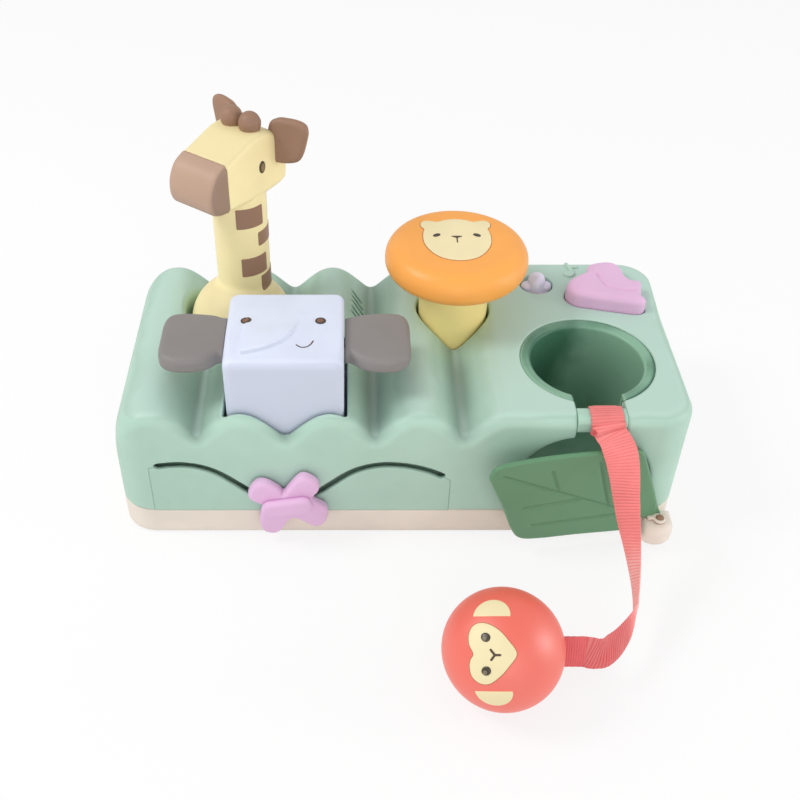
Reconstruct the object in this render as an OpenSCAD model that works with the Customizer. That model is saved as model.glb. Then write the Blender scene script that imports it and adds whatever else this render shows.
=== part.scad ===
// Activity bench with press-down figures, a wobbling giraffe, a slider and a ball on a ribbon.
// Units are millimetres. X runs along the bench, Y away from the child, Z up from the floor.

/* [Bench] */
// length of the bench
bench_l = 300; // [290:1:320]
// depth of the bench
bench_d = 140; // [136:1:152]
// corner radius in plan
corner_r = 18; // [14:1:22]
// height of the cream base
base_h = 17.5; // [16:0.5:20]
// height of the deck and of the ridge tops
crest_z = 83; // [80:0.5:90]
// depth of the valleys
ridge_drop = 14; // [10:0.5:16]
// distance from valley to valley
ridge_pitch = 45.6; // [44:0.2:47]
// wall thickness of the mouldings
wall = 2.5; // [2:0.1:3]
// rounding along the top edge
edge_r = 7; // [5:0.5:8]
// gap between pieces that only meet
seam = 0.1; // [0.05:0.05:0.2]
// gap between a moving piece and its guide
play = 0.4; // [0.3:0.05:0.6]

/* [Elephant] */
// width and depth of the block
block_w = 60; // [54:0.5:62]
// distance of the block's middle from the front of the bench
block_back = 37; // [35:0.5:40]
// height of the block above the ridge tops
block_rise = 30; // [26:0.5:36]
// gap round the block
block_gap = 1.6; // [1:0.1:2]
// how far the block goes down
block_travel = 12; // [8:0.5:14]
// reach of an ear beyond the block
ear_reach = 34; // [28:0.5:36]
// depth of an ear
ear_d = 41; // [34:0.5:43]
// thickness of an ear
ear_t = 9.5; // [7:0.5:10]

/* [Lion] */
// radius of the stem
stem_r = 19.2; // [17:0.1:20]
// gap round the stem
stem_gap = 1.4; // [0.8:0.1:2]
// radius of the cap
cap_r = 39; // [36:0.5:41]
// thickness of the cap
cap_t = 18; // [16:0.5:20]
// height of the cap's underside above the ridge tops
cap_rise = 25.5; // [24:0.5:30]
// how far the lion goes down
lion_travel = 18; // [12:0.5:20]
// radius of the face
face_r = 19; // [16:0.5:21]

/* [Giraffe] */
// radius of the dome
dome_r = 29; // [26:0.5:29.5]
// gap round the dome
dome_gap = 1.6; // [1:0.1:2]
// radius of the neck
neck_r = 14.8; // [13:0.1:15]
// height of the neck's top above the ridge tops
neck_rise = 81; // [70:0.5:90]
// turn of the head towards the left
head_turn = 36; // [20:1:60]
// width of the head
head_w = 30; // [28:0.5:34]
// radius of a gimbal pin
gimbal_pin_r = 2; // [1.5:0.1:2.5]

/* [Cup and ball] */
// radius of the ball
ball_r = 28.5; // [26:0.5:28.5]
// inner radius of the cup
cup_r = 29.8; // [29.6:0.1:31]
// width of the cup's rim
rim_w = 5.7; // [5:0.1:6.5]
// width of the strap bar
bar_w = 25; // [22:0.5:28]
// thickness of the strap bar
bar_t = 11; // [9:0.5:12]
// width of the ribbon
ribbon_w = 16.6; // [14:0.2:18]
// thickness of the ribbon
ribbon_t = 1; // [0.8:0.1:1.2]

/* [Leaf, slider and button] */
// thickness of the leaf
leaf_t = 3.2; // [2.6:0.1:3.6]
// how far the leaf stands open
leaf_open = 8; // [4:0.5:10]
// radius of the leaf's hinge pin
hinge_pin_r = 2; // [1.5:0.1:2.5]
// width of the wavy slot
slot_w = 4; // [3.5:0.1:5]
// thickness of the butterfly's wings
wing_t = 7; // [5:0.5:8]
// height of the bird above the deck
bird_rise = 9; // [6:0.5:11]
// how far the bird goes down
bird_travel = 2.5; // [1.5:0.1:3]

/* [Hidden] */
$fn = 48;
eps = 0.01;
front_y = -bench_d / 2;
back_y = bench_d / 2;
floor_t = wall;

function valley_x(i) = -bench_l / 2 + 45.4 + i * ridge_pitch;
shoulder_x = valley_x(0) - ridge_pitch / 2;
deck_x = valley_x(3) + ridge_pitch / 2;
shoulder_r = bench_l / 2 + shoulder_x + 0.2;
valley_soft = 0.28;

// height of the roof at any place along the bench
function roof_z(x) = x >= deck_x ? crest_z
    : x <= shoulder_x ? crest_z - shoulder_r + sqrt(max(0, pow(shoulder_r, 2) - pow(shoulder_x - x, 2)))
    : crest_z - ridge_drop * (1 - (norm([sin(180 * (x - valley_x(0)) / ridge_pitch), valley_soft]) - valley_soft)
        / (norm([1, valley_soft]) - valley_soft));

// elephant
ex = valley_x(1);
ey = front_y + block_back;
block_top = crest_z + block_rise;
block_collar_z = crest_z - 24;
block_low_z = block_collar_z - 3;
hole_w = block_w + 2 * block_gap;
stem_guide_r = 7;
stem_low_z = floor_t + 21.5;

// lion
lx = valley_x(3);
ly = 25.5;
cap_z = crest_z + cap_rise;
stem_hole_r = stem_r + stem_gap;
lion_collar_z = crest_z - 28;
lion_low_z = lion_collar_z - 3;
pedestal_z = crest_z - 21;
stem_roof_z = cap_z - 4.5;

// giraffe
gx = valley_x(0) + 16.6;
gy = 32;
gz = crest_z - 14;
dome_low_z = gz - 14;
dome_wall = 2.5;
dome_hole_r = dome_r + dome_gap;
neck_top_z = crest_z + neck_rise;
neck_set = -4.5;
gimbal_r0 = 15.5;
gimbal_r1 = 20.5;
gimbal_h = 6;

// cup, chute and bar
cx = bench_l / 2 - 49.5;
cy = front_y + 48;
rim_r = cup_r + rim_w;
chute_t = 2.4;
chute_out_r = cup_r + chute_t;
mouth_l = 37;
mouth_r = 30.5;
sill_z = 10.5;
bar_x = cx + 0.5;
bar_z = crest_z - bar_t;

// ball
bx = 44.8;
by = front_y - 98;
bz = ball_r;
ball_tilt = 36;

// leaf and its hinge
hx = bench_l / 2 - 11;
hy = front_y - 7.6;
lug_r = 9.6;
leaf_in = 2.2;

// wavy slot, measured from its lowest point
slot_x = -60.5;
slot_z = base_h + 7.8;
trough_r = 30;
crest_in_r = 36;
crest_out_r = 54;
slope = 41;
flank = 14.7;
panel_x0 = -131;
panel_x1 = 27;
t1 = trough_r * sin(slope);
t2 = t1 + flank * cos(slope);
t3 = t2 + crest_in_r * sin(slope);
w1 = trough_r * (1 - cos(slope));
w2 = w1 + flank * sin(slope);
w3 = w2 + crest_in_r * (1 - cos(slope));
function wave(t) = abs(t) < t1 ? trough_r - sqrt(pow(trough_r, 2) - t * t)
    : abs(t) < t2 ? w1 + (abs(t) - t1) * tan(slope)
    : abs(t) < t3 ? w3 - crest_in_r + sqrt(pow(crest_in_r, 2) - pow(t3 - abs(t), 2))
    : w3 - crest_out_r + sqrt(pow(crest_out_r, 2) - pow(abs(t) - t3, 2));
function wave_dir(t) = atan(wave(t + 0.05) / 0.1 - wave(t - 0.05) / 0.1);
function slot_edge(t, off) = [slot_x + t - off * sin(wave_dir(t)), slot_z + wave(t) + off * cos(wave_dir(t))];
slot_t = [for (i = [0 : 52]) panel_x0 - slot_x + (panel_x1 - panel_x0) * i / 52];

// board, light and bird
board_z = crest_z - 23;
board_t = 1.6;
board_gap = 1.5;
board_x0 = max(bench_l / 2 - 81, lx + stem_hole_r + wall + board_gap);
board_x1 = bench_l / 2 - 11;
board_y0 = max(back_y - 55, cy + chute_out_r + board_gap);
board_y1 = back_y - 6;
light_x = max(bench_l / 2 - 67.5, board_x0 + 13.5);
light_y = back_y - 22;
bird_x = bench_l / 2 - 30;
bird_y = back_y - 33;
bird_low_z = crest_z - 9;
plunger_z = board_z + board_t + 5;

// smooth closed curve through points
function spline(p, n) = let (c = len(p)) [for (i = [0 : c - 1], j = [0 : n - 1])
    let (t = j / n, a = p[(i + c - 1) % c], b = p[i], d = p[(i + 1) % c], e = p[(i + 2) % c])
    0.5 * (2 * b + (d - a) * t + (2 * a - 5 * b + 4 * d - e) * t * t + (3 * b - a - 3 * d + e) * t * t * t)];
// outline put in anticlockwise order
function around(p) = let (c = len(p), a = [for (i = [0 : c - 1]) p[i][0] * p[(i + 1) % c][1] - p[(i + 1) % c][0] * p[i][1]] * [for (i = [1 : c]) 1])
    a > 0 ? p : [for (i = [c - 1 : -1 : 0]) p[i]];
function middle(p) = [for (k = [0 : 1]) (max([for (q = p) q[k]]) + min([for (q = p) q[k]])) / 2];
function reach(p) = let (m = middle(p)) max([for (q = p) norm(q - m)]);
// outline drawn in towards its middle
function inset(p, d) = let (m = middle(p), s = 1 - d / reach(p)) [for (q = p) m + s * (q - m)];
function box_ring(w, d, r, n) = [for (c = [0 : 3], i = [0 : n])
    let (sx = c == 0 || c == 3 ? 1 : -1, sy = c < 2 ? 1 : -1, a = c * 90 + 90 * i / n)
    [sx * (w / 2 - r) + r * cos(a), sy * (d / 2 - r) + r * sin(a)]];

// solid through a stack of outlines that have the same number of points
module loft(rings) {
    n = len(rings[0]);
    m = len(rings);
    polyhedron(
        points = [for (r = rings) for (p = r) p],
        faces = concat(
            [[for (i = [0 : n - 1]) i]],
            [for (k = [0 : m - 2], i = [0 : n - 1]) [k * n + i, (k + 1) * n + i, (k + 1) * n + (i + 1) % n]],
            [for (k = [0 : m - 2], i = [0 : n - 1]) [k * n + i, (k + 1) * n + (i + 1) % n, k * n + (i + 1) % n]],
            [[for (i = [n - 1 : -1 : 0]) (m - 1) * n + i]]));
}

// plate with rounded rims: outline, lower and upper face, rim radius
module pillow(p, z0, z1, r, n = 4) {
    low = [for (i = [0 : n]) let (a = 90 * i / n) [r * (1 - sin(a)), z0 + r * (1 - cos(a))]];
    top = [for (i = [0 : n]) let (a = 90 * i / n) [r * (1 - cos(a)), z1 - r * (1 - sin(a))]];
    loft([for (k = concat(low, top)) [for (q = inset(around(p), k[0])) [q[0], q[1], k[1]]]]);
}

// coil spring with its ends a hair inside z0 and z1
module coil(r, wire, z0, z1, turns, per = 10) {
    n = turns * per;
    rise = z1 - z0 - 2 * wire - 0.1;
    loft([for (k = [0 : n]) let (a = 360 * k / per)
        [for (s = [0 : 5]) let (b = -60 * s, q = r + wire * cos(b))
            [q * cos(a), q * sin(a), z0 + 0.05 + wire + rise * k / n + wire * sin(b)]]]);
    echo(coil_gap = rise / turns - 2 * wire);
}

// outline of the bench, drawn in by d
module plan(d) {
    square([bench_l - 2 * corner_r, bench_d - 2 * d], center = true);
    square([bench_l - 2 * d, bench_d - 2 * corner_r], center = true);
    for (sx = [-1, 1], sy = [-1, 1])
        translate([sx * (bench_l / 2 - corner_r), sy * (bench_d / 2 - corner_r)]) circle(corner_r - d);
}

// front half of the plan outline, from the left end to the right end
function half_plan(d, step) = concat(
    [for (a = [180 : 15 : 270]) [-bench_l / 2 + corner_r + (corner_r - d) * cos(a), front_y + corner_r + (corner_r - d) * sin(a)]],
    [for (i = [0 : 4 * step]) [shoulder_x + (deck_x - shoulder_x) * i / (4 * step), front_y + d]],
    [for (a = [270 : 15 : 360]) [bench_l / 2 - corner_r + (corner_r - d) * cos(a), front_y + corner_r + (corner_r - d) * sin(a)]]);

// bench body with a ridged roof whose rim is rounded
module roof_body(d, low_z, down, r, rim, step) {
    lift = concat([[d, -1]], [for (i = [0 : rim]) [d + r * (1 - cos(90 * i / rim)), down + r * (1 - sin(90 * i / rim))]]);
    half = [for (k = lift) [for (q = half_plan(k[0], step)) [q[0], q[1], k[1] < 0 ? low_z : roof_z(q[0]) - k[1]]]];
    h = len(half[0]);
    n = 2 * h;
    m = len(half);
    polyhedron(
        points = [for (k = half) for (q = concat(k, [for (i = [h - 1 : -1 : 0]) [k[i][0], -k[i][1], k[i][2]]])) q],
        faces = concat(
            [[for (i = [0 : n - 1]) i]],
            [for (k = [0 : m - 2], i = [0 : n - 1]) [k * n + i, (k + 1) * n + i, (k + 1) * n + (i + 1) % n]],
            [for (k = [0 : m - 2], i = [0 : n - 1]) [k * n + i, (k + 1) * n + (i + 1) % n, k * n + (i + 1) % n]],
            [for (i = [0 : h - 2]) [(m - 1) * n + i, (m - 1) * n + n - 1 - i, (m - 1) * n + n - 2 - i, (m - 1) * n + i + 1]]));
}

// speaker, its slits and the battery cells
speaker_x = valley_x(2) - 1;
speaker_y = back_y - 39;
speaker_z = crest_z - 38;
// slits over the speaker: place from its middle and length
slit_list = [[-7.5, 15.2, 9], [-7.2, 10, 10], [-7.2, 5.2, 10], [-8, 0.2, 8], [-9, -3.9, 5.6]];
cell_x = 8;
cell_y = front_y + 28;
cell_r = 7.2;
cell_roof = floor_t + 2 * cell_r + 0.6;

screw_spots = [[-bench_l / 2 + 12, front_y + 12], [-bench_l / 2 + 12, back_y - 12], [bench_l / 2 - 9, front_y + 14],
    [bench_l / 2 - 12, back_y - 12], [valley_x(2) + 4, back_y - 9], [cell_x + 47, front_y + 9]];
board_spots = [[board_x0 + 5, board_y1 - 4], [board_x1 - 31, board_y0 + 3], [board_x0 + 5, board_y0 + 5]];

// outline of the bird about its middle
bird_pts = [[-22.6, -3], [-20, 4.5], [-14, 9.5], [-8.6, 13.5], [-6.6, 19.6], [1, 22.4], [7.6, 22], [11.6, 17.5],
    [12.8, 9], [15.4, 4.6], [20.6, 3], [19.6, -4], [18.6, -10], [20, -15.2], [15, -18.2], [2, -15.6], [-10, -12.6], [-18.6, -9.8]];
bird_line = spline(bird_pts, 3);

module at_elephant() translate([ex, ey, 0]) children();
module at_lion() translate([lx, ly, 0]) children();
module at_giraffe() translate([gx, gy, 0]) children();
module at_head() translate([gx, gy, 0]) rotate(-90 - head_turn) translate([neck_set, 0, 0]) children();
module at_cup() translate([cx, cy, 0]) children();
module at_leaf() translate([hx, hy, 0]) rotate(leaf_open) children();
module at_ball() translate([bx, by, bz]) rotate([ball_tilt, 0, 0]) children();
module at_bird() translate([bird_x, bird_y, 0]) children();
module facing() rotate([90, 0, 0]) children();

module tube(r1, r0, z0, z1) translate([0, 0, z0]) difference() {
    cylinder(r = r1, h = z1 - z0);
    translate([0, 0, -1]) cylinder(r = r0, h = z1 - z0 + 2);
}
module rod(r, z0, z1) translate([0, 0, z0]) cylinder(r = r, h = z1 - z0);

// cut for the front panel and the wavy slot
module slot_cut() {
    facing() translate([0, 0, bench_d / 2 - 6]) linear_extrude(12)
        polygon(concat([[panel_x0, base_h - 2], [panel_x1, base_h - 2]],
            [for (i = [52 : -1 : 0]) let (p = slot_edge(slot_t[i], slot_w / 2)) [min(max(p[0], panel_x0), panel_x1), p[1]]]));
}

// arch that the ball leaves by
module mouth_2d() {
    top = bar_z - 2;
    translate([cx - mouth_l - 1.5, sill_z]) square([mouth_l + mouth_r + 1.5, top - 30 - sill_z]);
    translate([cx - mouth_l + 28.5, sill_z]) square([mouth_l + mouth_r - 58.5, top - sill_z]);
    translate([cx - mouth_l + 28.5, top - 30]) circle(30);
    translate([cx + mouth_r - 30, top - 30]) circle(30);
}

module upper_shell() color([0.66, 0.8, 0.72]) difference() {
    roof_body(0, base_h, 0, edge_r, 4, 12);
    difference() {
        roof_body(wall, base_h - 1, wall + 0.5, edge_r - wall, 2, 12);
        at_elephant() translate([0, 0, block_collar_z + 25]) cube([hole_w + 2 * wall, hole_w + 2 * wall, 50], center = true);
        at_lion() rod(stem_hole_r + wall, lion_collar_z, crest_z + 5);
        at_giraffe() rod(dome_hole_r + wall, gz - 7, crest_z + 5);
        at_bird() translate([0, 0, bird_low_z + 3]) linear_extrude(20) polygon(inset(bird_line, -play - wall));
        at_cup() rod(rim_r + wall, crest_z - 7, crest_z + 5);
        translate([light_x, light_y, 0]) rod(11, crest_z - 6, crest_z + 5);
        for (p = screw_spots) translate([p[0], p[1], 0]) rod(4, base_h, crest_z + 5);
        for (p = board_spots) translate([p[0], p[1], 0]) rod(3.2, board_z + board_t, crest_z + 5);
        translate([bar_x - bar_w / 2 - 4, front_y - 5, bar_z - 1]) cube([bar_w + 8, 22, 30]);
    }
    at_elephant() translate([0, 0, crest_z]) cube([hole_w, hole_w, 80], center = true);
    at_lion() rod(stem_hole_r, 20, 120);
    at_giraffe() rod(dome_hole_r, 20, 120);
    at_bird() translate([0, 0, bird_low_z]) linear_extrude(30) polygon(inset(bird_line, -play));
    at_cup() rod(rim_r + seam, crest_z - 3, 120);
    at_cup() rod(chute_out_r + seam, 20, 120);
    translate([light_x, light_y, 0]) rod(6, 40, 120);
    translate([light_x, light_y, 0]) rod(9.5, crest_z - 2, 120);
    for (p = screw_spots) translate([p[0], p[1], 0]) rod(1.4, base_h - 1, base_h + 9);
    for (p = board_spots) translate([p[0], p[1], 0]) rod(1.1, board_z, board_z + board_t + 7);
    slot_cut();
    facing() translate([0, 0, bench_d / 2 - 12]) linear_extrude(24) mouth_2d();
    translate([bar_x - bar_w / 2 - seam, front_y - 5, bar_z - 4]) cube([bar_w + 2 * seam, 24, 40]);
    for (q = slit_list) translate([speaker_x + q[0], speaker_y + q[1], crest_z]) rotate(-48)
        cube([q[2], 1.5, 66], center = true);
}

module base_tray() color([0.88, 0.83, 0.79]) difference() {
    union() {
        difference() {
            linear_extrude(base_h) plan(0);
            translate([0, 0, floor_t]) linear_extrude(base_h) plan(wall);
        }
        translate([hx, hy, 0]) rod(lug_r, base_h - 9.5, base_h);
        translate([hx - lug_r, hy, base_h - 9.5]) cube([2 * lug_r, front_y - hy + 1, 9.5]);
        for (p = screw_spots) translate([p[0], p[1], 0]) rod(4.4, floor_t - eps, base_h);
        at_giraffe() rod(9, floor_t - eps, gz + 5);
        at_giraffe() rod(26, floor_t - eps, base_h + 2.5);
        at_elephant() rod(stem_guide_r + 3.5, floor_t - eps, floor_t + 39);
        at_lion() rod(12, floor_t - eps, pedestal_z);
        at_lion() rod(5, pedestal_z - 1, pedestal_z + 18);
        translate([speaker_x, speaker_y, 0]) rod(19.5, floor_t - eps, speaker_z);
        translate([cell_x - 31, cell_y - 17.5, 0]) cube([72, 35, cell_roof + 2]);
        translate([cx - mouth_l, front_y + 4, floor_t - eps]) cube([mouth_l + mouth_r, 3, sill_z - chute_t - floor_t - seam]);
    }
    translate([cx - mouth_l - 1.5, front_y - 1, sill_z - seam]) cube([mouth_l + mouth_r + 1.5, wall + 1.5, 20]);
    for (p = screw_spots) translate([p[0], p[1], 0]) {
        rod(1.6, -1, base_h + 1);
        rod(3.1, -1, base_h - 7);
    }
    at_giraffe() translate([0, 0, gz]) rotate([90, 0, 0]) cylinder(r = gimbal_pin_r, h = 40, center = true);
    at_elephant() rod(stem_guide_r + 0.35, floor_t, 80);
    translate([speaker_x, speaker_y, 0]) rod(16.5, floor_t, 80);
    translate([cell_x - 29, cell_y - 15.5, -1]) cube([58, 31, cell_roof + 1]);
    translate([cell_x + 28, cell_y - 15.5, -1]) cube([11, 31, floor_t + 1]);
    translate([cell_x + 34, cell_y, 0]) rod(1.1, 0, 12);
    translate([hx, hy, 0]) rod(hinge_pin_r, base_h - 8, base_h + 1);
}

module front_panel() color([0.66, 0.8, 0.72]) facing() translate([0, 0, bench_d / 2 - wall]) linear_extrude(wall)
    polygon(concat([[panel_x0 + seam, base_h], [panel_x1 - seam, base_h]],
        [for (i = [52 : -1 : 0]) let (p = slot_edge(slot_t[i], -slot_w / 2))
            [min(max(p[0], panel_x0 + seam), panel_x1 - seam), p[1]]]));

// chute outline: round at the back, wider at the mouth
module chute_2d(d) {
    circle(cup_r + d);
    polygon([[cup_r + d, 0], [-cup_r - d, 0], [-mouth_l - d, front_y - cy + wall + 0.5], [mouth_r + d, front_y - cy + wall + 0.5]]);
}

module ball_chute() color([0.44, 0.62, 0.5]) difference() {
    union() {
        at_cup() translate([0, 0, sill_z - chute_t]) linear_extrude(bar_z - sill_z) chute_2d(chute_t);
        at_cup() rod(chute_out_r, sill_z, crest_z - 1);
        at_cup() rod(rim_r, crest_z - 3 + seam, crest_z);
    }
    difference() {
        at_cup() translate([0, 0, sill_z - 20]) linear_extrude(bar_z + 60) chute_2d(0);
        at_cup() translate([-60, front_y - cy - 2, sill_z - chute_t - 20]) rotate([8, 0, 0])
            cube([120, 140, 20 + chute_t]);
    }
    at_cup() translate([0, 0, crest_z - 2.4]) cylinder(r1 = cup_r - 0.1, r2 = rim_r - 0.6, h = 2.4 + eps);
    at_cup() translate([bar_x - cx - bar_w / 2 - seam, -60, bar_z - 4]) cube([bar_w + 2 * seam, 60, 60]);
    at_cup() translate([-60, front_y - cy - 10, -10]) cube([120, 10 + wall + 0.6, 200]);
}

module bar_2d(d) {
    r = 4 + d;
    w = bar_t + 2 * d;
    square([w - 2 * r, w], center = true);
    square([w, w - 2 * r], center = true);
    for (sx = [-1, 1], sy = [-1, 1]) translate([sx * (w / 2 - r), sy * (w / 2 - r)]) circle(r);
}
module at_bar() translate([bar_x, front_y + bar_t / 2 + 0.2, bar_z + bar_t / 2]) rotate([90, 0, 90]) children();

module strap_bar() color([0.68, 0.81, 0.74]) at_bar() translate([0, 0, -bar_w / 2]) linear_extrude(bar_w) bar_2d(0);

loop_x = bar_w / 2 - ribbon_w / 2 - 1.8;
module strap_loop() color([0.98, 0.55, 0.54]) at_bar() translate([0, 0, loop_x - ribbon_w / 2]) linear_extrude(ribbon_w)
    difference() {
        bar_2d(0.3 + ribbon_t);
        bar_2d(0.3);
    }

// ribbon route from the bar to the ball: place, then the way its width points
sx0 = bar_x + loop_x;
sy0 = front_y + 0.2 - 0.3 - ribbon_t * 1.5 - 0.05;
route = [[sx0, sy0, crest_z - 2.5, 1, 0, 0], [sx0 + 0.8, sy0 - 0.5, crest_z - 5.2, 1, 0, 0.04], [sx0 + 2.9, front_y - 6, crest_z - 6.8, 0.97, 0, 0.2],
    [sx0 + 4.1, front_y - 11.6, crest_z - 8.5, 0.95, -0.05, 0.3], [sx0 + 5.3, front_y - 16, crest_z - 11.9, 0.88, -0.22, 0.4],
    [sx0 + 6.6, front_y - 20.8, crest_z - 18.8, 0.76, -0.44, 0.48], [sx0 + 7.5, front_y - 25.5, crest_z - 25.6, 0.64, -0.54, 0.55],
    [sx0 + 8.4, front_y - 31.5, crest_z - 32.5, 0.53, -0.58, 0.62], [sx0 + 9.3, front_y - 38, crest_z - 38.9, 0.41, -0.62, 0.67],
    [sx0 + 10.5, front_y - 44.2, crest_z - 45.6, 0.26, -0.68, 0.68], [sx0 + 11.6, front_y - 50.4, crest_z - 52.3, 0.11, -0.72, 0.68],
    [sx0 + 12.4, front_y - 56.6, crest_z - 59, -0.04, -0.72, 0.7], [sx0 + 12.5, front_y - 61.8, crest_z - 64, -0.18, -0.66, 0.73],
    [sx0 + 11.8, front_y - 66.4, crest_z - 68, -0.22, -0.48, 0.85], [sx0 + 8.9, front_y - 71.8, crest_z - 70.5, -0.18, -0.18, 0.97],
    [sx0 + 4, front_y - 78.2, crest_z - 71.4, -0.09, 0.06, 0.99], [sx0 - 2.1, front_y - 84.6, crest_z - 70.4, 0.05, 0.2, 0.98],
    [bx + ball_r + 21.8, by + 7, bz - 12, 0.08, 0.3, 0.95], [bx + ball_r + 17.8, by + 2.6, bz - 6, 0.04, 0.34, 0.94],
    [bx + ball_r + 14, by + 0.4, bz - 2.4, 0, 0.342, 0.94], [bx + ball_r + 10.7, by, bz - 2, 0, 0.342, 0.94]];
function along(i, t, k) = let (c = len(route), a = route[max(i - 1, 0)][k], b = route[i][k], d = route[min(i + 1, c - 1)][k],
    e = route[min(i + 2, c - 1)][k]) 0.5 * (2 * b + (d - a) * t + (2 * a - 5 * b + 4 * d - e) * t * t + (3 * b - a - 3 * d + e) * t * t * t);
route_n = 4 * (len(route) - 1);
function route_i(k) = min(floor(k / 4), len(route) - 2);
function route_p(k) = [for (c = [0 : 2]) along(route_i(k), k / 4 - route_i(k), c)];
function route_w(k) = [for (c = [3 : 5]) along(route_i(k), k / 4 - route_i(k), c)];
function route_d(k) = let (v = route_p(min(k + 0.2, route_n)) - route_p(max(k - 0.2, 0))) v / norm(v);

module strap() color([0.98, 0.55, 0.54]) loft([for (k = [0 : route_n])
    let (d = route_d(k), w0 = route_w(k) - (route_w(k) * d) * d, w = w0 / norm(w0), u = cross(d, w), p = route_p(k))
    [for (q = [[-1, -1], [-1, 1], [-0.34, 1], [0.34, 1], [1, 1], [1, -1], [0.34, -1], [-0.34, -1]])
        p + w * (q[0] * ribbon_w / 2) + u * (q[1] * ribbon_t / 2)]]);
echo(strap_length = ([for (k = [1 : route_n]) norm(route_p(k) - route_p(k - 1))] * [for (k = [1 : route_n]) 1]));

module strap_tab() color([0.95, 0.5, 0.5]) difference() {
    translate([bx, by, bz - 2]) rotate([-20, 0, 0]) translate([ball_r - 3, -1, -ribbon_w / 2]) cube([13, 2, ribbon_w]);
    translate([bx, by, bz]) sphere(ball_r, $fn = 96);
}

module light_cover() color([0.79, 0.77, 0.86]) translate([light_x, light_y, 0]) difference() {
    union() {
        rod(9.3, crest_z - 2, crest_z - 0.4);
        for (p = [[-5, 0, 3.6], [5, 0, 3.6]]) translate([p[0], p[1], crest_z - 0.5]) {
            rod(p[2], 0, 1.6);
            translate([0, 0, 1.6]) scale([1, 1, 0.7]) sphere(p[2]);
        }
        rod(4.8, crest_z - 1, crest_z + 2.4);
        translate([0, 0, crest_z + 2.4]) sphere(4.8);
        rod(5.8, crest_z - 4, crest_z - 1);
    }
    rod(3.6, crest_z - 5, crest_z + 1.6);
}

module led() color([0.95, 0.95, 0.9]) translate([light_x, light_y, 0]) {
    rod(2.9, board_z + board_t, board_z + board_t + 1);
    rod(2.5, board_z + board_t, crest_z - 8);
    translate([0, 0, crest_z - 8]) sphere(2.5);
}

module circuit_board() color([0.25, 0.45, 0.3]) difference() {
    translate([board_x0, board_y0, board_z]) cube([board_x1 - board_x0, board_y1 - board_y0, board_t]);
    for (p = board_spots) translate([p[0], p[1], 0]) rod(1.3, 20, 90);
    for (p = screw_spots) translate([p[0], p[1], 0]) rod(5.5, 20, 90);
}

module board_screws() color([0.7, 0.7, 0.72]) for (p = board_spots) translate([p[0], p[1], 0]) {
    rod(2.4, board_z - 1.6, board_z);
    rod(1.1, board_z - 0.5, board_z + board_t + 6);
}

module button_dome() color([0.85, 0.85, 0.82]) at_bird() difference() {
    translate([0, 0, board_z + board_t]) cylinder(r1 = 5.5, r2 = 3.4, h = plunger_z - board_z - board_t);
    translate([0, 0, board_z + board_t - eps]) cylinder(r1 = 4.6, r2 = 2.6, h = plunger_z - board_z - board_t - 1);
}

module speaker() color([0.2, 0.2, 0.22]) translate([speaker_x, speaker_y, speaker_z]) rotate_extrude()
    polygon([[0, -8], [9, -8], [9, -3.6], [14, 0], [19, 0], [19, 2], [16.5, 2.6], [15, 1.6], [7, -3.4], [5, -2.4], [0, -1.6]]);

module battery_cells() color([0.3, 0.32, 0.36]) for (s = [-1, 1]) translate([cell_x - 25.2, cell_y + s * 7.5, floor_t + cell_r + 0.05])
    rotate([0, 90, 0]) {
        cylinder(r = cell_r, h = 49);
        cylinder(r = 2.7, h = 50.4);
    }

module battery_contacts() color([0.8, 0.8, 0.8]) for (s = [-1, 1]) translate([0, cell_y + s * 7.5, floor_t + cell_r + 0.05]) {
    translate([cell_x - 28.9, -6.5, -6]) cube([0.6, 13, 12]);
    translate([cell_x - 28.5, 0, 0]) rotate([0, 90, 0]) cylinder(r1 = 5, r2 = 3, h = 3.25);
    translate([cell_x + 28.3, -6.5, -6]) cube([0.6, 13, 12]);
    translate([cell_x + 25.25, 0, 0]) rotate([0, 90, 0]) cylinder(r = 3, h = 3.25);
}

module battery_door() color([0.86, 0.81, 0.77]) difference() {
    translate([cell_x - 28.8, cell_y - 15.3, 0.2]) cube([67.6, 30.6, floor_t - 0.2]);
    translate([cell_x + 34, cell_y, 0]) rod(1.3, -1, 9);
    translate([cell_x + 34, cell_y, 0]) rod(2.8, -1, 1.2);
}

module door_screw() color([0.7, 0.7, 0.72]) translate([cell_x + 34, cell_y, 0]) {
    rod(2.5, 0.3, 1.2);
    rod(1.1, 1, 10);
}

module shell_screws() color([0.7, 0.7, 0.72]) for (p = screw_spots) translate([p[0], p[1], 0]) {
    rod(2.9, base_h - 9.4, base_h - 7);
    rod(1.4, base_h - 8, base_h + 8);
}

module hinge_pin() color([0.6, 0.52, 0.42]) translate([hx, hy, 0]) {
    rod(hinge_pin_r, base_h - 8, base_h + 8);
    rod(hinge_pin_r + 1, base_h + 6.5, base_h + 8.2);
}

module gimbal_cross_pin() color([0.7, 0.7, 0.72]) at_giraffe() translate([0, 0, gz]) rotate([90, 0, 0])
    cylinder(r = gimbal_pin_r, h = 2 * gimbal_r1 - 0.4, center = true);

module gimbal_ring() color([0.85, 0.85, 0.85]) at_giraffe() difference() {
    translate([0, 0, gz]) rotate_extrude() translate([gimbal_r0, -gimbal_h / 2]) square([gimbal_r1 - gimbal_r0, gimbal_h]);
    translate([0, 0, gz]) rotate([90, 0, 0]) cylinder(r = gimbal_pin_r + 0.05, h = 60, center = true);
    translate([0, 0, gz]) rotate([0, 90, 0]) cylinder(r = gimbal_pin_r - 0.05, h = 60, center = true);
}

module gimbal_side_pins() color([0.7, 0.7, 0.72]) at_giraffe() for (s = [0, 180]) translate([0, 0, gz]) rotate([0, 90, s])
    translate([0, 0, gimbal_r0]) cylinder(r = gimbal_pin_r - 0.05, h = 9.3);

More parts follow.
